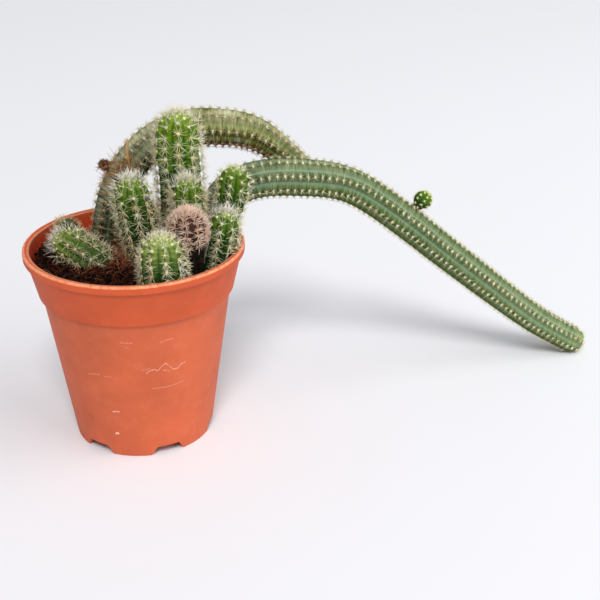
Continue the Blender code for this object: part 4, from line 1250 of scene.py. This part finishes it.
def skin_material(name, look):
    """Living skin.

    Colours change along the stem, dust lies above and the underside is darkened as painted shade. Each groove
    has a line or a band, pale in some looks and painted shade in the darker ones, the skin is darkened by
    painted shade between two areoles of a row and round each, and fine streaks cross the ribs, because their
    noise changes fast along the stem and slowly across it; the dark ones are painted shadows of the spines
    over real dark lines.
    """
    material, tree, shader = new_material(name, 0.5, gloss=0.07)
    shader.inputs["Subsurface Weight"].default_value = 0.03
    shader.inputs["Subsurface Radius"].default_value = (0.4 * MM, 0.8 * MM, 0.2 * MM)
    shader.inputs["Subsurface Scale"].default_value = 1.0
    where = object_place(tree)
    grain = noise(tree, where, 1.4, 4.0, 0.7)
    blotch = noise(tree, where, 5.0, 3.0)
    along = maths(tree, "ADD", named_value(tree, "along"), times(tree, grain, 0.06))
    colour = ramp(tree, maths(tree, "SUBTRACT", along, 0.03), look.stops)
    # Painted shade on the underside: the skin darkens where it faces down
    shade = span(tree, named_value(tree, "below"), 0.05, 0.75)
    colour = mix(tree, times(tree, shade, look.shaded), colour, look.under)
    dust = times(tree, named_value(tree, "above"), span(tree, blotch, 0.25, 0.65))
    colour = mix(tree, times(tree, dust, look.dusty), colour, look.dust)
    if look.scarred:
        scar = span(tree, noise(tree, where, 3.2, 5.0, 0.7), 0.56, 0.66)
        colour = mix(tree, times(tree, scar, look.scarred), colour, SCAR)
    crowded = add_node(tree, "CombineXYZ", X=times(tree, named_value(tree, "travel"), STREAKS)).outputs[0]
    drift = add_node(tree, "VectorMath", {"operation": "SCALE"}, i0=where, Scale=STREAK_DRIFT / MM)
    streaked = add_node(
        tree, "VectorMath", {"operation": "ADD"}, i0=crowded, i1=drift.outputs[0]).outputs[0]
    streak = add_node(tree, "TexNoise", Vector=streaked, Scale=1.0, Detail=2.0).outputs[0]
    # Dark streaks: painted shadows of the spines across the skin, over real dark lines
    dark = times(tree, span(tree, streak, 0.5, 0.66), 0.65)
    colour = mix(tree, dark, colour, STREAK_SHADOW_TINT, "MULTIPLY")
    pale = times(tree, span(tree, streak, 0.47, 0.34), 0.4)
    colour = mix(tree, pale, colour, look.dust)
    # The groove's line: pale in some looks, painted shade in the groove in the near-black ones
    groove = maths(tree, "POWER", named_value(tree, "groove"), look.narrow)
    colour = mix(tree, times(tree, groove, look.grooved), colour, look.groove)
    # Painted shade in the hollow between two areoles of a row and round each areole
    for label, share, tint in (("dip", 0.85, DIP_PAINTED_SHADE), ("eye", 0.5, AREOLE_SHADE_TINT)):
        colour = mix(tree, times(tree, named_value(tree, label), share), colour, tint, "MULTIPLY")
    tree.links.new(colour, shader.inputs["Base Color"])
    add_bump(tree, shader, maths(tree, "ADD", grain, times(tree, streak, -0.8)), 0.2, 0.7)
    return material


def areole_travels(stem, line):
    """Distances over the skin at which areoles sit on an even crest and on an odd one.

    They stand a pitch apart along the stem, and closer together over the dome, by a power of the cosine of
    the angle up it.
    """
    end = line.lengths[-1]
    tip_radius = line.rows[-1, 3]
    rows = []
    for start in (0.0, 0.5):
        travels = [stem.pitch * (start + k) for k in range(int(end / stem.pitch) + 1)]
        travels = [travel for travel in travels if travel <= end]
        travel = travels[-1]
        while True:
            polar = max(0.0, (travel - end) / tip_radius)
            travel += stem.pitch * max(LEAST_PITCH, math.cos(polar) ** DOME_CROWDING)
            if (travel - end) / tip_radius > LAST_AREOLE:
                break
            travels.append(travel)
        rows.append(np.array(travels))
    return rows


def areoles(stem, line):
    """Travel and turn of every areole above the stem's bare foot."""
    even, odd = areole_travels(stem, line)
    travel = [odd if rib % 2 else even for rib in range(stem.ribs)]
    start = math.radians(stem.turn)
    turn = [np.full(len(row), start + rib * math.tau / stem.ribs) for rib, row in enumerate(travel)]
    travel, turn = np.concatenate(travel), np.concatenate(turn)
    clothed = travel > stem.bare
    return travel[clothed], turn[clothed]


def is_open(points, soil, heights):
    """True where points stand clear of the pot's lip and high enough.

    Over the pot that is the first height above the soil, and elsewhere the second above the table.
    """
    over_soil, over_table = heights
    reach = np.hypot(points[..., 0], points[..., 1])
    over_pot = reach < LIP_RADIUS + LIP_CLEARANCE
    ground = soil_height(points[..., 0], points[..., 1], soil)
    is_low = points[..., 2] < POT_HEIGHT + LIP_CLEARANCE
    in_wall = over_pot & (reach > COLLAR_TOP_RADIUS - LIP_WIDTH) & is_low
    return np.where(over_pot, points[..., 2] > ground + over_soil, points[..., 2] > over_table) & ~in_wall


def make_skin(stem, line, relief, material):
    """A stem's ribbed skin, with what its finish needs kept in the mesh.

    That is the place along the stem, how deep in a groove the skin lies, how far it faces up and down, and
    where painted shade lies round each areole and in the dip between two, as powers of the nearness to a
    crest and to an areole.
    """
    travel, turn = skin_grid(stem, line, relief)
    points, normal, _ = skin_at(stem, line, travel, turn, relief)
    rings, corners = travel.shape
    tip_radius = line.rows[-1, 3]
    pole = line.rows[-1, :3] + tip_radius * line.tangents[-1]
    everything = np.concatenate((points.reshape(-1, 3), [line.rows[0, :3], pole]))
    crest, wave = rib_waves(stem, travel, turn)
    whole = line.lengths[-1] + tip_radius * math.pi / 2
    body = smooth_step(whole - travel, 0.0, tip_radius)
    values = {
        "along": (travel / whole, 1.0), "travel": (travel, whole), "groove": ((1.0 - crest) * body, 0.0),
        "eye": (crest ** 4 * wave ** 1.5 * body, 0.0),
        "dip": (crest ** 2.5 * (1.0 - wave) ** 1.5 * body, 0.0),
        "above": (np.clip(normal[..., 2], 0.0, 1.0), 1.0),
        "below": (np.clip(-normal[..., 2], 0.0, 1.0), 0.0),
    }
    values = {
        label: np.concatenate((numbers.ravel(), (0.0, tip))) for label, (numbers, tip) in values.items()}
    make_piece(stem.name + "_skin", everything, grid_quads(rings, corners), end_fans(rings, corners),
               material, values, stem.name if stem.name in frame["nodes"] else None)


def spine_tone(stem, travel, line, normal, random):
    """Tone of each areole, and how young it is, from 0 to 1 over the last millimetres.

    The tone is the stem's own, turning to the crown's with youth, browner and darker on the underside, partly
    older felt and partly painted shade, and, for the looks whose foot is shaded, darker towards it as painted
    shade low in the clump.
    """
    end = line.lengths[-1]
    young = smooth_step(travel, end - CROWN_START, end + CROWN_WHOLE * line.rows[-1, 3])
    tone = stem.tone + (stem.crown_tone - stem.tone) * young
    # Spines and felt are browner and darker on the underside: partly older felt, partly painted shade
    brown = OLD_UNDERSIDE_SHADE_BROWNING if stem.look == "old" else UNDERSIDE_SHADE_BROWNING
    tone = tone - brown * np.clip(-normal[:, 2], 0.0, 1.0)
    # Painted shade low in the clump: darker, browner spines and felt towards the foot
    if stem.look in SHADED_FOOT_LOOKS:
        low, high = SHADED_FOOT_LOOKS[stem.look]
        tone = tone - FOOT_SHADE_DARKENING * (1.0 - smooth_step(travel, low * end, high * end))
    return np.clip(tone + random.normal(0.0, AREOLE_SPREAD, len(travel)), 0.0, 1.0), young


def make_felt(stem, points, normal, tangent, tone, young, settings, material, random):
    """A small domed pad of felt at each areole: a foot ring, a middle ring, a top and a bottom."""
    count = len(points)
    rise = LIME_RISE if stem.look in LIME_LOOKS else CROWN_FALL
    radius = stem.pad * random.uniform(*PAD_SIZES, count)
    across = unit(np.cross(normal, tangent))
    along = np.cross(across, normal)
    angle = np.arange(PAD_SIDES) * math.tau / PAD_SIDES
    rim = np.cos(angle)[:, None] * across[:, None] + np.sin(angle)[:, None] * along[:, None]
    rim = rim * radius[:, None, None] * random.uniform(*PAD_EDGE, (count, PAD_SIDES, 1))
    height = (radius * settings.pad_height)[:, None] * normal
    foot = points[:, None] - PAD_FOOT * normal[:, None] + rim
    middle = points[:, None] + PAD_MIDDLE[0] * height[:, None] + PAD_MIDDLE[1] * rim
    bottom = points - PAD_BOTTOM * normal
    stacked = np.concatenate((foot, middle, bottom[:, None], (points + height)[:, None]), axis=1)
    each = stacked.shape[1]
    shift = each * np.arange(count)[:, None, None]
    tone = np.repeat(np.clip(tone + rise * young, 0.0, 1.0), each)
    make_piece(stem.name + "_felt", stacked.reshape(-1, 3), grid_quads(2, PAD_SIDES)[None] + shift,
               end_fans(2, PAD_SIDES)[None] + shift, material, {"tone": tone})


def make_spines(stem, line, points, normal, tangent, tone, young, settings, soil, material, random):
    """Curved, tapering three-sided spines that fan out of each areole.

    A radial spine leaves at a turn round the areole, lifted off the skin by a random angle. The turns are
    even, or crowd to both sides by the stem's fan times the sine of twice the turn. One spine in five stands
    up. On the crown they rise and lean towards the tip, and in the looks with a lime crown some are missing.
    Each bends a little towards its end.
    """
    count, each = len(points), stem.spines
    number = np.tile(np.arange(each), (count, 1))
    is_central = number % CENTRAL_EVERY == 2
    around = math.tau * (number + random.uniform(-TURN_SPREAD, TURN_SPREAD, number.shape)) / each
    around = around + random.uniform(0.0, math.tau, (count, 1))
    around = around + stem.fan * np.sin(2.0 * around) / 2.0
    lift = settings.lift + settings.spread * random.random(number.shape)
    lift = lift + CROWN_LIFT * young[:, None]
    lift = np.where(is_central, random.uniform(*CENTRAL_LIFTS, number.shape), lift)
    across = unit(np.cross(normal, tangent))
    flat = np.cos(around)[..., None] * tangent[:, None] + np.sin(around)[..., None] * across[:, None]
    heading = np.cos(lift)[..., None] * flat + np.sin(lift)[..., None] * normal[:, None]
    heading = unit(heading + (CROWN_LEAN * young)[:, None, None] * line.tangents[-1])
    length = stem.spine * random.uniform(*SPINE_LENGTHS, number.shape)
    length = length * np.where(is_central, CENTRAL_LENGTH, 1.0)
    length = length * (1.0 + stem.tuft * young)[:, None]
    root = points[:, None] + ROOT_RISE * normal[:, None] + ROOT_REACH * stem.pad * flat
    bend = unit(random.normal(size=heading.shape)) * random.uniform(0.0, SPINE_BEND, number.shape)[..., None]
    bend = bend - stem.curl * normal[:, None]
    steps = np.array(SPINE_STEPS)
    path = root[:, :, None] + length[..., None, None] * (
        steps[:, None] * heading[:, :, None] + (steps ** 2)[:, None] * bend[:, :, None])
    path = path.reshape(-1, len(steps), 3)
    kept = is_open(path[:, 1:], soil, SPINE_HEIGHTS).all(axis=1)
    if stem.look in LIME_LOOKS:
        kept &= random.random(len(path)) > CROWN_THINNING * np.repeat(young, each)
    path = path[kept]
    thick = stem.thick * settings.thickness / MM * random.uniform(*SPINE_WIDTHS, len(path))
    mesh_points, quads, triangles = tubes(path, thick[:, None] * np.array(SPINE_TAPER), 3)
    own = np.repeat(tone, each)[kept] + random.normal(0.0, SPINE_SPREAD, len(path))
    own = np.repeat(np.clip(own, 0.0, 1.0), 3 * len(steps))
    make_piece(stem.name + "_spines", mesh_points, quads, triangles, material, {"tone": own})


def tone_material(name, stops, roughness, grain):
    """A finish whose colour follows the tone kept in the mesh, with a fine grain."""
    material, tree, shader = new_material(name, roughness)
    where = object_place(tree)
    colour = ramp(tree, named_value(tree, "tone"), stops)
    share = times(tree, noise(tree, where, grain, 2.0), 0.4)
    colour = mix(tree, share, colour, TONE_GRAIN, "MULTIPLY")
    tree.links.new(colour, shader.inputs["Base Color"])
    return material


def bud_line(line, centre, radius):
    """A bud's centre-line: a slim neck out of its parent's centre-line, then a round head."""
    centre = np.array(centre)
    foot = line.rows[np.argmin(np.linalg.norm(line.rows[:, :3] - centre, axis=1)), :3]
    axis = unit(centre - foot)
    rows = [(*foot, BUD_NECK * radius)]
    rows += [(*(centre - axis * back * radius), wide * radius) for back, wide in BUD_SHAPE]
    return centre_line(rows)


def make_stem(stem, line, relief, spines, soil, finishes, seed):
    """One stem: its skin, then felt and spines at each areole."""
    random = np.random.default_rng((SEED, seed))
    make_skin(stem, line, relief, finishes[stem.look])
    travel, turn = areoles(stem, line)
    points, normal, tangent = skin_at(stem, line, travel, turn, relief)
    clear = is_open(points, soil, AREOLE_HEIGHTS)
    travel, points, normal, tangent = travel[clear], points[clear], normal[clear], tangent[clear]
    along = unit(tangent - normal * (tangent * normal).sum(-1, keepdims=True))
    tone, young = spine_tone(stem, travel, line, normal, random)
    make_felt(stem, points, normal, along, tone, young, spines, finishes["felt"], random)
    spine = finishes["bristle" if stem.look == "bristly" else "spine"]
    make_spines(stem, line, points, normal, along, tone, young, spines, soil, spine, random)


def make_bunches(material):
    """Dried fibres in bunches, and one golden fibre among them.

    A fibre leaves its root near the bunch's direction and bends by a random direction times the square of the
    way along it. The golden fibre is a natural cubic spline.
    """
    random = np.random.default_rng((SEED, BUNCH_SEED))
    paths, radii, tones = [], [], []
    steps = np.linspace(0.0, 1.0, BUNCH_POINTS)
    for bunch in BUNCHES:
        root = np.array(bunch.root) + random.normal(size=(bunch.count, 3)) * bunch.spread
        heading = unit(unit(np.array(bunch.heading)) + bunch.scatter * random.normal(size=(bunch.count, 3)))
        bend = BUNCH_BEND * unit(random.normal(size=(bunch.count, 3)))
        length = bunch.length * random.lognormal(0.0, BUNCH_SPREAD, (bunch.count, 1, 1))
        curve = steps[:, None] * heading[:, None] + (steps ** 2)[:, None] * bend[:, None]
        paths.append(root[:, None] + length * curve)
        width = bunch.radius * random.uniform(*BUNCH_WIDTHS, (bunch.count, 1))
        radii.append(width * (1.0 - BUNCH_TAPER * steps))
        tones.append(random.uniform(*bunch.tones, bunch.count))
    points, quads, triangles = tubes(np.concatenate(paths), np.concatenate(radii), BUNCH_SIDES)
    tone = np.repeat(np.concatenate(tones), len(steps) * BUNCH_SIDES)
    make_piece("dried_fibres", points, quads, triangles, material, {"tone": tone})
    strand = spline(STRAND, STRAND_POINTS)
    points, quads, triangles = tubes(strand[None, :, :3], strand[None, :, 3], STRAND_SIDES)
    tone = np.full(len(points), STRAND_TONE)
    make_piece("golden_fibre", points, quads, triangles, material, {"tone": tone})


# Stage


def aimed(travel):
    """Turn of a light that shines along a direction."""
    return math.atan2(math.hypot(travel[0], travel[1]), -travel[2]), 0.0, math.atan2(-travel[0], travel[1])


def make_stage(scene, settings):
    """A plain pale floor, light from all sides, a soft sun, a broad light on the right and the camera."""
    half = FLOOR_SIZE / 2
    mesh = bpy.data.meshes.new("floor")
    corners = [(-half, -half, 0.0), (half, -half, 0.0), (half, half, 0.0), (-half, half, 0.0)]
    mesh.from_pydata(place(corners).tolist(), [], [(0, 1, 2, 3)])
    material, tree, shader = new_material("floor", 0.6, gloss=0.1)
    cloud = noise(tree, object_place(tree), 60.0, 2.0)
    colour = mix(tree, times(tree, cloud, 0.08), settings.floor, FLOOR_CLOUD)
    tree.links.new(colour, shader.inputs["Base Color"])
    mesh.materials.append(material)
    floor = bpy.data.objects.new("floor", mesh)
    scene.collection.objects.link(floor)

    world = bpy.data.worlds.new("studio")
    world.use_nodes = True
    sky = world.node_tree.nodes["Background"]
    sky.inputs["Color"].default_value = SKY_COLOUR
    sky.inputs["Strength"].default_value = settings.sky
    scene.world = world
    scene.view_settings.view_transform = "Standard"

    sun = bpy.data.lights.new("sun", "SUN")
    sun.energy = settings.sun
    sun.angle = settings.sun_size
    sun.color = SUN_COLOUR
    high = bpy.data.objects.new("sun", sun)
    high.rotation_euler = aimed(SUN_TRAVEL)
    scene.collection.objects.link(high)

    window = bpy.data.lights.new("window", "AREA")
    window.size = WINDOW_SIZE * MM
    window.energy = settings.window
    side = bpy.data.objects.new("window", window)
    side.location = place(WINDOW_PLACE)
    side.rotation_euler = aimed(np.array(WINDOW_TARGET) - np.array(WINDOW_PLACE))
    scene.collection.objects.link(side)

    lens = bpy.data.cameras.new("camera")
    lens.lens = CAMERA_LENS
    lens.sensor_width = CAMERA_SENSOR
    camera = bpy.data.objects.new("camera", lens)
    camera.location = place(CAMERA_PLACE)
    camera.rotation_euler = (CAMERA_TILT, 0.0, 0.0)
    scene.collection.objects.link(camera)
    scene.camera = camera


# Operators


def settings_of(context, label):
    """The scene's settings of one kind."""
    return getattr(context.scene, "cactus_" + label)


def check_made(*names):
    """Stop with an error where a piece is missing or has no faces."""
    for name in names:
        piece = bpy.data.objects.get(name)
        if piece is None or not piece.data.polygons:
            raise RuntimeError(name + " wasn't made")


class MakePot(bpy.types.Operator):
    """Make the nursery pot with its notches and drain holes."""

    bl_idname = "cactus.pot"
    bl_label = "Pot"

    def execute(self, context):
        make_pot(settings_of(context, "pot"))
        check_made("pot_shell")
        return {"FINISHED"}


class MakeSoil(bpy.types.Operator):
    """Make the soil with its crumbs and coconut fibres."""

    bl_idname = "cactus.soil"
    bl_label = "Soil"

    def execute(self, context):
        soil, pot = settings_of(context, "soil"), settings_of(context, "pot")
        make_soil(soil, pot)
        make_crumbs(soil, pot)
        make_fibres(soil, pot)
        check_made("soil_body", "soil_crumbs", "soil_fibres")
        return {"FINISHED"}


class MakeStems(bpy.types.Operator):
    """Make each stem's skin, felt and spines."""

    bl_idname = "cactus.stems"
    bl_label = "Stems"

    def execute(self, context):
        relief, spines = settings_of(context, "stems"), settings_of(context, "spines")
        soil = settings_of(context, "soil")
        finishes = {name: skin_material("skin_" + name, look) for name, look in LOOKS.items()}
        finishes["felt"] = tone_material("areole_felt", FELT_STOPS, 0.95, 0.3)
        finishes["spine"] = tone_material("spine", SPINE_STOPS, 0.5, 1.2)
        finishes["bristle"] = tone_material("bristle", BRISTLE_STOPS, 0.5, 1.2)
        stems = {stem.name: stem for stem in STEMS}
        lines = {stem.name: centre_line(stem.route) for stem in STEMS}
        for seed, stem in enumerate(STEMS):
            make_stem(stem, lines[stem.name], relief, spines, soil, finishes, seed)
        for seed, (parent, name, centre, radius, look, tone, crown_tone) in enumerate(BUDS, BUD_SEED):
            bud = stems[parent]._replace(
                name=name, pitch=BUD_PITCH * radius, spines=BUD_SPINES, spine=BUD_SPINE, tone=tone,
                crown_tone=crown_tone, fan=0.0, pad=BUD_PAD * radius, look=look)
            make_stem(bud, bud_line(lines[parent], centre, radius), relief, spines, soil, finishes, seed)
        make_bunches(finishes["spine"])
        grown = [*stems, *(bud[1] for bud in BUDS)]
        check_made(*(name + part for name in grown for part in ("_skin", "_felt", "_spines")))
        check_made("dried_fibres", "golden_fibre")
        return {"FINISHED"}


class MakeStage(bpy.types.Operator):
    """Make the floor, the lights and the photograph's camera."""

    bl_idname = "cactus.stage"
    bl_label = "Stage"

    def execute(self, context):
        make_stage(context.scene, settings_of(context, "stage"))
        check_made("floor")
        if context.scene.camera is None:
            raise RuntimeError("The camera wasn't made")
        return {"FINISHED"}


class CactusPanel(bpy.types.Panel):
    """Lists the pieces to make and their settings."""

    bl_label = "Cactus"
    bl_idname = "VIEW3D_PT_cactus"
    bl_space_type = "VIEW_3D"
    bl_region_type = "UI"
    bl_category = "Cactus"

    def draw(self, context):
        for label, kind in SETTINGS.items():
            box = self.layout.box()
            box.label(text=label.capitalize())
            for name in kind.__annotations__:
                box.prop(settings_of(context, label), name)
        for operator in OPERATORS:
            self.layout.operator(operator.bl_idname)


SETTINGS = {
    "pot": PotSettings, "soil": SoilSettings, "stems": StemSettings, "spines": SpineSettings,
    "stage": StageSettings,
}
OPERATORS = (MakePot, MakeSoil, MakeStems, MakeStage)


def register():
    """Register the classes and hang the settings on the scene."""
    for kind in (*SETTINGS.values(), *OPERATORS, CactusPanel):
        bpy.utils.register_class(kind)
    for label, kind in SETTINGS.items():
        setattr(bpy.types.Scene, "cactus_" + label, bpy.props.PointerProperty(type=kind))


def unregister():
    """Take the settings off the scene and unregister the classes."""
    for label in SETTINGS:
        delattr(bpy.types.Scene, "cactus_" + label)
    for kind in (CactusPanel, *reversed(OPERATORS), *reversed(SETTINGS.values())):
        bpy.utils.unregister_class(kind)


def main():
    """Make every piece in order."""
    register()
    bpy.ops.cactus.pot()
    bpy.ops.cactus.soil()
    bpy.ops.cactus.stems()
    bpy.ops.cactus.stage()


if __name__ == "__main__":
    main()
